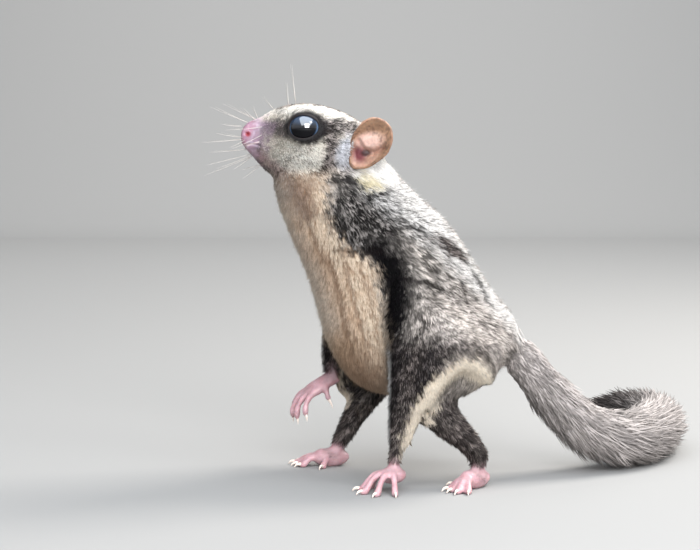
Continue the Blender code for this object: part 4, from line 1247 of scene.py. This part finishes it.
# %% Middles and tips
gather = (heart - root) * (0.75 - 0.4 * is_head)[:, None]
lift = lift * random.uniform(0.82, 1.15, clump.max() + 1)[clump]
sway = random.normal(0, 0.16, (count, 3))
way = flat_on(root_lie + sway, root_normal)
middle = root + way * (long * 0.45)[:, None] + root_normal * (lift * 0.8)[:, None] + gather * 0.4
tip = root + way * long[:, None] + root_normal * lift[:, None] + gather
print("longest tuft mm", round(float(long.max()), 1))

# %% Keep the tips close to the skin's own curve
skin_tree = BVHTree.FromPolygons([Vector(p) for p in points], triangles.tolist())


def hugging(places, height):
    """Each place moved to this height above the skin under it, along the skin's normal there."""
    hits = [skin_tree.find_nearest(Vector(place)) for place in places]
    foot = np.array([hit[0] for hit in hits])
    way = np.array([hit[1] for hit in hits])
    return foot + way * height[:, None]


held = tail_part <= 0.5
tip[held] = hugging(tip[held], lift[held])
for places, least in ((root, 0.3), (middle, 0.35), (tip, 0.3)):
    places[:, 2] = np.maximum(places[:, 2], least)
print("tufts held to the skin", int(held.sum()))

# %% [markdown]
# Wild fur is ticked: pale tips over dark hair. Each tuft is either pale or dark, and the share
# of pale ones is set so that the mean stays the marking's colour. Most tufts follow a noise
# stretched round the body, which gives broken rows, or their clump, and the rest are their own.

# %% Colours of each tuft
rows_of_tips = np.stack([root @ DOWN_BODY / 0.8, root @ ROUND_BODY / 1.9, root[:, 1] / 1.9], 1)
in_rows = 1 / (1 + np.exp(-5.2 * mottle(rows_of_tips, 1.0, 17)))
choice = random.uniform(0, 1, count)
own, of_clump = random.uniform(0, 1, count), random.uniform(0, 1, clump.max() + 1)[clump]
draw = np.where(choice < 0.4, in_rows, np.where(choice < 0.72, of_clump, own))
mean = np.maximum(root_marks["colour"].mean(1), 0.004)
pale, deep_tone = np.clip(0.34 * step(0, 0.12, mean) + 1.02 * mean, 0, 0.94), 0.07 * mean
pale_share = (mean - deep_tone) / np.maximum(pale - deep_tone, 1e-4)
tone = np.where(draw < pale_share, pale, deep_tone) / mean
ticked = (1 + (tone - 1) * root_marks["tick"]) * random.uniform(0.9, 1.1, count)
tip_colour = root_marks["colour"] * ticked[:, None]
# painted shade: tips in the streaks and in the cracks between clumps are painted dark
tip_colour = over(tip_colour, ripple * 0.75, root_marks["colour"] * 0.1)
# painted shade: tips in the partings are painted near black
tip_colour = over(tip_colour, root_marks["fold"] * (1 - 0.7 * breast_part) * 0.85, LID_BLACK_AND_PARTING_SHADE)
# painted shade: tips in the breast's furrows are painted darker and warmer
tip_colour = over(tip_colour, furrow * 0.45, root_marks["colour"] * (0.62, 0.46, 0.34))
tip_colour = np.clip(tip_colour, 0.004, 0.95)
root_colour = root_marks["base"] * 0.7
middle_colour = root_colour + (tip_colour - root_colour) * 0.7

# %% [markdown]
# Each coat piece has its own bake map. The skin is unrolled area by area: how far a root lies
# along its guide line is one side of the map, and its angle round the line is the other. A
# tuft is a patch about 0.003 across at its root's place on that unrolled skin.

# %% Unrolled places of the roots
GUIDE_LENGTH = 60
root_solid = solid_of[triangles[picked, share_of.argmax(1)]]


def unrolled(places, normals, solid):
    """(angle round the guide, share along it) for the roots of one solid, both from 0 to 1."""
    name = solid_names[solid]
    guide = GUIDES[name]
    path = through(guide, GUIDE_ROWS)
    way, share = along(places, guide)
    side = unit(np.cross(way, (0.02, 0.0, 1.0)))
    up = np.cross(side, way)
    spoke = places - path[np.round(share * (GUIDE_ROWS - 1)).astype(int)]
    reach = (spoke * way).sum(1) / GUIDE_LENGTH
    if name.startswith("membrane"):
        spoke = normals
    turn = np.arctan2((spoke * up).sum(1), (spoke * side).sum(1)) / (2 * np.pi) + 0.5
    if name.startswith("membrane"):
        turn = turn * 0.5 + 0.25 + (places[:, 0] - places[:, 0].mean()) * 0.004
    return np.stack([turn, np.clip(share * 0.8 + 0.1 + reach, 0, 1)], 1)


# %% One tuft, and a piece of many
PIECES = {
    "coat_head": ["head"], "coat_neck": ["neck"], "coat_torso": ["torso"],
    "coat_arms": ["arm_left", "arm_right"],
    "coat_legs": ["thigh_left", "thigh_right", "shin_left", "shin_right"],
    "coat_membranes": ["membrane_left", "membrane_right"], "coat_tail": ["tail"],
}
MOST_TRIANGLES = 198000
PATCH = 0.0015


def blade_faces(rings):
    """One tuft's corners: the root's triangle, six triangles between rings, three to the tip."""
    faces = [(0, 2, 1)]
    for low in range(0, 3 * (rings - 1), 3):
        for k, n in ((0, 1), (1, 2), (2, 0)):
            faces += [(low + k, low + n, low + 3 + n), (low + k, low + 3 + n, low + 3 + k)]
    last = 3 * (rings - 1)
    return np.array(faces + [(last + k, last + n, last + 3) for k, n in ((0, 1), (1, 2), (2, 0))])


def tuft_mesh(name, mine, places, hearts):
    """All tufts of one piece: a ring of three round each heart, and the tip, over and over."""
    growth = unit(tip[mine] - root[mine])
    across = unit(np.cross(root_normal[mine], way[mine]))
    deep = unit(np.cross(growth, across))
    half = wide[mine, None] * 0.5
    rows, ways, paints, flat = [], [], [], []
    for step_up, (heart, scale, paint) in enumerate(hearts):
        height = step_up / len(hearts) * 2 - 1
        for side, lean, u in ((-across, 1.1, -1), (across, 1.1, 1), (deep, 1.0, 0)):
            rows.append(heart[mine] + side * half * scale * lean)
            ways.append(side * 0.7 + root_normal[mine])
            paints.append(paint[mine])
            flat.append((u, height))
    rows.append(tip[mine])
    ways.append(root_normal[mine] + growth * 0.4)
    paints.append(tip_colour[mine])
    flat.append((0, 1))
    number, corners = len(mine), len(rows)
    faces = (blade_faces(len(hearts))[None] + corners * np.arange(number)[:, None, None]).reshape(-1, 3)
    mesh = mesh_of(name, np.stack(rows, 1).reshape(-1, 3), faces)
    painted(mesh, np.stack(paints, 1).reshape(-1, 3))
    patch = (places[:, None] + np.array(flat)[None] * PATCH).reshape(-1, 2)[faces.ravel()]
    layer = mesh.uv_layers.new(name="OFBake")
    layer.uv.foreach_set("vector", patch.astype(np.float32).ravel())
    mesh.normals_split_custom_set_from_vertices(unit(np.stack(ways, 1).reshape(-1, 3)))
    return mesh


# %% The coat
ROOT_SINK = 0.25
under_skin = root - root_normal * ROOT_SINK
SHORT = [(under_skin, 1.0, root_colour)]
LONG = [(under_skin, 0.7, root_colour), (middle, 1.0, middle_colour)]
tuft_total = 0
for piece, solids in PIECES.items():
    numbers = [solid_names.index(name) for name in solids]
    mine = np.flatnonzero(np.isin(root_solid, numbers) & (area_at_root["bare"] < 0.6))
    places = np.zeros((len(mine), 2))
    for k, number in enumerate(numbers):
        inside = root_solid[mine] == number
        flatmap = unrolled(root[mine[inside]], root_normal[mine[inside]], number)
        places[inside] = (flatmap + (k, 0)) / (len(numbers), 1)
    places = places * 0.985 + 0.0075
    hearts = LONG if piece == "coat_tail" else SHORT
    parts = int(np.ceil(len(mine) * len(blade_faces(len(hearts))) / MOST_TRIANGLES))
    order = np.argsort(places[:, 1], kind="stable")
    for part, chosen in enumerate(np.array_split(order, parts)):
        name = piece if parts == 1 else f"{piece}_{part + 1}"
        coat = shown(name, tuft_mesh(name, mine[chosen], places[chosen], hearts), fur)
        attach(coat, "root")
        tuft_total += len(chosen)
        print(name, len(chosen), "tufts", len(coat.data.polygons), "triangles")
print("tufts in all", tuft_total)

# %% [markdown]
# The eye is a large dark ball that bulges. Its cornea is almost as wide as the opening, black
# and wet, with a thin blue-grey ring where it meets the white of the eye. A ball with its
# pole on the eye's axis makes the ring a function of the angle from that axis.

# %% Eyes
EYE_RADIUS = 5.8
EYE_AXIS = unit(np.array([-0.19, -0.97, 0.13]))
eye_finish, eye_shader, start = finish_of(
    "eye_dark", Roughness=0.02, Specular_IOR_Level=0.0, Coat_IOR=2.3, Coat_Roughness=0.012)
fed(eye_shader, "Base Color", start.read("Marking"))
fed(eye_shader, "Coat Weight", start.read("Wet", "Fac"))


def frame_round(axis):
    """Two unit vectors square to the axis: level across it, and upwards."""
    across = unit(np.cross(axis, (0, 0, 1)))
    return across, np.cross(across, axis)


def ball(centre, axis, radius, rows, columns, bulge=0.0):
    """Points at angle p from the axis and q round it: radius + bulge times exp(-(p/0.75)^2)."""
    across, up = frame_round(axis)
    p = np.linspace(0.02, np.pi - 0.02, rows)[:, None, None]
    q = turns(columns)[None, :, None]
    out = np.cos(p) * axis + np.sin(p) * (np.cos(q) * across + np.sin(q) * up)
    rings = centre + out * (radius + bulge * bell(p, 0.75))
    shape, faces = capped(rings)
    angle = np.concatenate([np.repeat(p.ravel(), columns), [0, np.pi]])
    return shape, faces, angle


for side, name in ((-1, "eye_left"), (1, "eye_right")):
    axis = mirrored(EYE_AXIS, side)
    shape, faces, angle = ball(mirrored(EYE_CENTRE, side), axis, EYE_RADIUS - 0.15, 64, 64, 0.5)
    if side == -1:
        faces = faces[:, ::-1]
    rim = bell(np.degrees(angle) - 52, 4.5)
    upward = (shape - mirrored(EYE_CENTRE, side))[:, 2] / EYE_RADIUS
    colours = layered(
        plain((0.002, 0.002, 0.003), shape),
        (rim * 0.8, (0.10, 0.16, 0.26)),
        (step(56, 64, np.degrees(angle)), (0.02, 0.016, 0.016)),
        # painted reflection: a faint blue over the upper half of the cornea stands in for the sky's
        # reflection
        (step(0.12, 0.5, upward) * (1 - rim) * 0.8, (0.03, 0.055, 0.10)),
    )
    mesh = mesh_of(name + "_ball", shape, faces)
    painted(mesh, colours)
    numbered(mesh, "Wet", 0.08 + 0.92 * step(-0.12, 0.14, upward).astype(np.float32))
    eye = shown(name + "_ball", mesh, eye_finish)
    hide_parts(name)
    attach(eye, "root")

# %% [markdown]
# The lids' edge is a wet black rim round the opening, a tube that follows an oval on the ball.

# %% Lid rims
LID_SIDES, LID_STEPS = 12, 96
LID_LONG, LID_HIGH = math.radians(60), math.radians(43)
lid_finish, lid_shader, start = finish_of("lid_rim", Base_Color=(*LID_BLACK_AND_PARTING_SHADE, 1), Specular_IOR_Level=0.25)
fed(lid_shader, "Roughness", start.noise(1500.0) * 0.3 + 0.4)
for side, name in ((-1, "lid_left"), (1, "lid_right")):
    axis = mirrored(EYE_AXIS, side)
    across, up = frame_round(axis)
    t = turns(LID_STEPS)[:, None]
    angle = 1 / np.hypot(np.cos(t) / LID_LONG, np.sin(t) / LID_HIGH)
    out = np.cos(angle) * axis + np.sin(angle) * (np.cos(t) * across + np.sin(t) * up)
    loop = mirrored(EYE_CENTRE, side) + out * 6.0
    ahead = unit(np.roll(loop, -1, axis=0) - np.roll(loop, 1, axis=0))
    beside = np.cross(ahead, out)
    turn = turns(LID_SIDES)[None, :, None]
    rings = loop[:, None] + 0.42 * np.cos(turn) * out[:, None] + 0.6 * np.sin(turn) * beside[:, None]
    faces = rolled(LID_STEPS + 1, LID_SIDES) % (LID_STEPS * LID_SIDES)
    mesh = mesh_of(name, rings.reshape(-1, 3), faces)
    made = bmesh.new()
    made.from_mesh(mesh)
    bmesh.ops.recalc_face_normals(made, faces=made.faces)
    made.to_mesh(mesh)
    made.free()
    lid = shown(name, mesh, lid_finish)
    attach(lid, "root")

# %% [markdown]
# The ears are thin cups of bare skin. Each is a surface of two parameters: the angle round the
# ear, and the way from its root to its rim. A fold, a groove, a pit and a notch shape its
# inside, and the same four soft shapes colour it. A Solidify modifier gives the wall.

# %% Ears
EAR_ROOT = np.array([-14.0, -13.6, 107.2])
EAR_MOUTH = np.array([-10.3, -20.0, 111.7])
EAR_SHIFT = np.array([-0.3, 0.0, 0.3])
EAR_FACING = unit(np.array([-0.36, -0.93, 0.0]))
EAR_UP = np.array([0.36, -0.14, 0.92])
EAR_LONG = unit(EAR_UP - EAR_FACING * (EAR_UP @ EAR_FACING))
EAR_SHORT = np.cross(EAR_FACING, EAR_LONG)
ear_finish, ear_shader, start = finish_of(
    "ear_skin", Roughness=0.5, Subsurface_Weight=0.15, Subsurface_Scale=0.0012, Specular_IOR_Level=0.4)
ear_shader.inputs["Subsurface Radius"].default_value = (1.0, 0.35, 0.2)
freckle = start.noise(1300.0, 3.0)
shade = freckle * 0.7 + start.noise(380.0) * 0.5 + 0.4
fed(ear_shader, "Base Color", start.read("Marking").times(shade))
fed(ear_shader, "Normal", freckle.bump(0.3, 0.0002))


def ear_outline(angle):
    """The reach at an angle from the ear's top: round, with a low front corner and a cut back."""
    degrees = np.degrees(angle)
    return 6.6 + 0.25 * np.cos(angle) + 1.5 * bell(degrees - 160, 20) - 0.9 * bell(degrees - 238, 32)


def ear(side, rows=40, columns=120):
    """Row r and angle a: root to mouth by a rising curve, spread by r, with folds inside."""
    r = np.linspace(0.02, 1, rows)[:, None]
    a = turns(columns)[None, :]
    rise = np.interp(r, [0, 0.34, 0.62, 0.86, 1.0], [0.0, 0.06, 0.3, 0.66, 1.0])
    spread = np.interp(r, [0, 0.2, 0.4, 0.62, 0.86, 1.0], [0.0, 0.34, 0.58, 0.78, 0.93, 1.0])
    reach = 0.42 + 0.58 * (1 + np.cos(a)) / 2
    x, y = (way(a) * ear_outline(a) * spread for way in (np.cos, np.sin))
    wave = 0.25 * np.sin(a * 5 + 1) * step(0.8, 1.0, r) + 0.12 * np.sin(a * 13) * step(0.85, 1.0, r)
    curl = 0.6 * step(0.84, 1.0, r) * np.ones_like(a)
    mouth = EAR_MOUTH + EAR_SHIFT * rise[..., None]
    heart = EAR_ROOT + (mouth - EAR_ROOT) * (rise * reach)[..., None]
    grid = heart + EAR_LONG * x[..., None] + EAR_SHORT * y[..., None]
    at = seen(grid.reshape(-1, 3))
    fold = spot(at, (370, 142), (13, 8), -12, 0.6)
    groove = stroke(at, [(360, 141), (365, 148), (374, 152), (383, 148)], 5.0, 0.9)
    pit = spot(at, (365.5, 153), (4.4, 3.4), 0, 0.6)
    notch = spot(at, (359, 154), (7.0, 8.5), -20, 0.6)
    relief = (1.5 * fold - 0.8 * groove - 1.6 * pit - 0.8 * notch).reshape(rows, columns)
    push = (relief * step(0, 0.3, r) - curl + wave)[..., None]
    return mirrored(grid + EAR_FACING * push, side), (r + 0 * a).ravel(), fold, groove, pit, notch


for side, name in ((-1, "ear_left"), (1, "ear_right")):
    grid, flat_r, fold, groove, pit, notch = ear(side)
    rows, columns = grid.shape[:2]
    shape = np.vstack([grid.reshape(-1, 3), grid[0].mean(0)])
    c = np.arange(columns)
    fan = np.stack([c, (c + 1) % columns, np.full(columns, rows * columns)], -1)
    faces = np.vstack([rolled(rows, columns)[:, ::-1], fan])
    if side == 1:
        faces = faces[:, ::-1]
    cloud = grid.reshape(-1, 3)
    freckles = step(-0.05, 0.5, mottle(cloud, 0.62, 31)) * step(0.5, 0.8, flat_r)
    colours = layered(
        plain((0.26, 0.15, 0.09), cloud),
        (step(0.80, 0.5, flat_r) * 0.6, (0.42, 0.25, 0.19)),
        (fold * 0.9, (0.66, 0.46, 0.39)),
        (groove * 0.4, (0.30, 0.15, 0.11)),
        (notch * 0.95, (0.15, 0.04, 0.05)),
        # painted shade: the ear's opening is painted near black
        (pit * 0.97, (0.03, 0.008, 0.008)),
        (step(0.94, 1.0, flat_r) * 0.6, (0.26, 0.15, 0.10)),
        (freckles * 0.75, (0.12, 0.065, 0.045)),
    )
    mesh = mesh_of(name + "_cup", shape, faces)
    painted(mesh, np.vstack([colours, (0.06, 0.02, 0.02)]))
    cup = shown(name + "_cup", mesh, ear_finish)
    wall = cup.modifiers.new("Wall", "SOLIDIFY")
    wall.thickness = 0.5 * MM
    wall.offset = 0.0
    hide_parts(name)
    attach(cup, "root")

# %% [markdown]
# Claws are pale hooked horn. Whiskers are long tapered hairs in rows on the lip, the chin
# and over the eye. Both are tubes, and every whisker starts just under the skin.

# %% Claws
claw_finish, claw_shader, start = finish_of("claw_horn", Specular_IOR_Level=0.5, Coat_Weight=0.3)
streak = start.noise(700.0)
fed(claw_shader, "Base Color", streak.between((0.62, 0.50, 0.42), (0.85, 0.76, 0.68)))
fed(claw_shader, "Roughness", streak * 0.2 + 0.3)
claw_piece = shown("claws", mesh_of("claws", *gathered(claws)), claw_finish)
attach(claw_piece, "root")

# %% Whiskers
WHISKER_TOP = 136.0
WHISKERS = [  # across and down of each whisker's foot and tip in the side view
    (247, 123, 211, 108), (256, 120, 224, 105), (256, 121, 241, 109), (258, 118, 252, 108),
    (241, 127, 222, 125), (243, 138, 217, 134), (243, 140, 203, 143), (245, 141, 231, 148),
    (246, 150, 210, 153), (250, 155, 206, 166), (251, 156, 218, 169), (252, 157, 234, 170),
    (250, 158, 205, 176), (258, 166, 243, 170), (260, 166, 243, 179), (289, 107, 286, 84),
    (296, 104, 291, 66), (274, 110, 263, 98), (262, 128, 226, 131), (262, 136, 232, 150),
]
hair_finish, hair_shader, start = finish_of("whisker_hair", Roughness=0.35, Specular_IOR_Level=0.6)
fed(hair_shader, "Base Color", start.noise(300.0).between((0.30, 0.27, 0.24), (0.62, 0.58, 0.54)))


def in_plan(place, y):
    """The plan point at depth y that the side view shows at this place."""
    away = VIEW_DISTANCE + y * math.cos(VIEW_ELEVATION)
    x = VIEW_TARGET[0] + (place[0] - MIDDLE_ACROSS) * away / VIEW_SCALE
    rise = (MIDDLE_DOWN - place[1]) * away / VIEW_SCALE
    z = VIEW_TARGET[2] + (rise - y * math.sin(VIEW_ELEVATION)) / math.cos(VIEW_ELEVATION)
    return np.array([x, y, z])


strands = []
for side in (-1, 1):
    for x1, y1, x2, y2 in WHISKERS:
        origin = in_plan((x1, y1), -40.0)
        beyond = in_plan((x1, y1), 0.0)
        hit = skin_tree.ray_cast(Vector(origin), Vector(unit(beyond - origin)))
        foot = np.array(hit[0]) if hit[0] is not None else beyond
        spread = -6.0 - 0.35 * math.hypot(x2 - x1, y2 - y1) * 0.33 + random.uniform(-2, 2)
        far = in_plan((x2, y2), foot[1] + spread)
        far[2] = min(far[2], WHISKER_TOP)
        t = np.linspace(0, 1, 12)[:, None]
        bow = np.array([0.0, -1.0, -0.6]) * random.uniform(0.5, 1.6)
        path = foot + (far - foot) * t + bow * (t * (1 - t))
        path = path - unit(far - foot) * 0.6 * (1 - t)
        strands.append(tube(mirrored(path, side), np.linspace(0.1, 0.02, 12), 5, (0.1, 0.2, 1.0)))
whiskers = shown("whiskers", mesh_of("whiskers", *gathered(strands)), hair_finish)
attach(whiskers, "root")
print("whiskers", len(strands))

# %% [markdown]
# The stage is a pale floor that sweeps up behind the model, soft studio light, and a camera
# at the side, a little above the animal. A warm light from the upper right and behind edges
# the nape and back. A very broad cool one overhead fills the upper half of the eye as an open
# sky does, and a smaller one over the camera lights the side. The breast stays in soft shade.
# A fifth light washes the floor behind the model, away from the animal.

# %% Stage
stage_finish, _, _ = finish_of("pale_floor", Base_Color=(0.25, 0.248, 0.242, 1), Roughness=0.9)
rows = through([(-3.0, 0.0), (0.0, 0.0), (0.8, 0.0), (1.2, 0.02), (1.55, 0.4), (1.6, 1.2), (1.6, 2.6)], 60)
columns = np.linspace(-4, 4, 9)
shape = (len(rows), len(columns))
grid = np.stack([np.broadcast_to(columns[None], shape), np.broadcast_to(rows[:, :1], shape),
                 np.broadcast_to(np.maximum(rows[:, 1:], 0.0), shape)], -1)
floor_mesh = bpy.data.meshes.new("floor")
index = np.arange(grid[..., 0].size).reshape(shape)
corners = [index[:-1, :-1], index[:-1, 1:], index[1:, 1:], index[1:, :-1]]
quads = np.stack(corners, -1).reshape(-1, 4)
floor_mesh.from_pydata(grid.reshape(-1, 3).tolist(), [], quads.tolist())
floor_mesh.shade_smooth()
floor = shown("floor", floor_mesh, stage_finish)

# %% Lights
def soft_light(name, place, power, size, colour, aim=(-0.03, 0.0, 0.06)):
    """A square area light of this size in metres, turned to the model."""
    lamp = bpy.data.lights.new(name, "AREA")
    lamp.energy, lamp.size, lamp.color = power, size, colour
    thing = bpy.data.objects.new(name, lamp)
    thing.location = place
    thing.rotation_mode = "QUATERNION"
    thing.rotation_quaternion = (Vector(aim) - Vector(place)).to_track_quat("-Z", "Y")
    bpy.context.scene.collection.objects.link(thing)


soft_light("key", (0.45, 0.22, 0.62), 9.0, 0.35, (1.0, 0.96, 0.91))
soft_light("sky", (0.0, -0.42, 0.82), 16.0, 1.25, (0.88, 0.94, 1.0))
soft_light("front", (0.15, -0.86, 0.42), 10.5, 0.5, (0.99, 0.98, 1.0), (0.0, 0.0, 0.045))
soft_light("spark", (0.42, -0.42, 0.66), 0.8, 0.18, (1.0, 1.0, 1.0))
soft_light("wash", (0.0, 0.95, 1.0), 14.0, 1.0, (1.0, 1.0, 1.0), (0.0, 1.5, 0.2))
world = bpy.data.worlds.new("studio")
world.use_nodes = True
sky = world.node_tree.nodes["Background"].inputs
sky["Color"].default_value = (0.90, 0.93, 1.0, 1)
sky["Strength"].default_value = 0.40
bpy.context.scene.world = world
bpy.context.scene.view_settings.view_transform = "Standard"

# %% Camera
camera_data = bpy.data.cameras.new("camera")
camera_data.lens, camera_data.sensor_width = 100.0, 36.0
camera = bpy.data.objects.new("camera", camera_data)
camera.location = to_world(VIEW_TARGET + VIEW_BACK * VIEW_DISTANCE)
camera.rotation_mode = "QUATERNION"
camera.rotation_quaternion = Vector(-VIEW_BACK).to_track_quat("-Z", "Y")
bpy.context.scene.collection.objects.link(camera)
bpy.context.scene.camera = camera
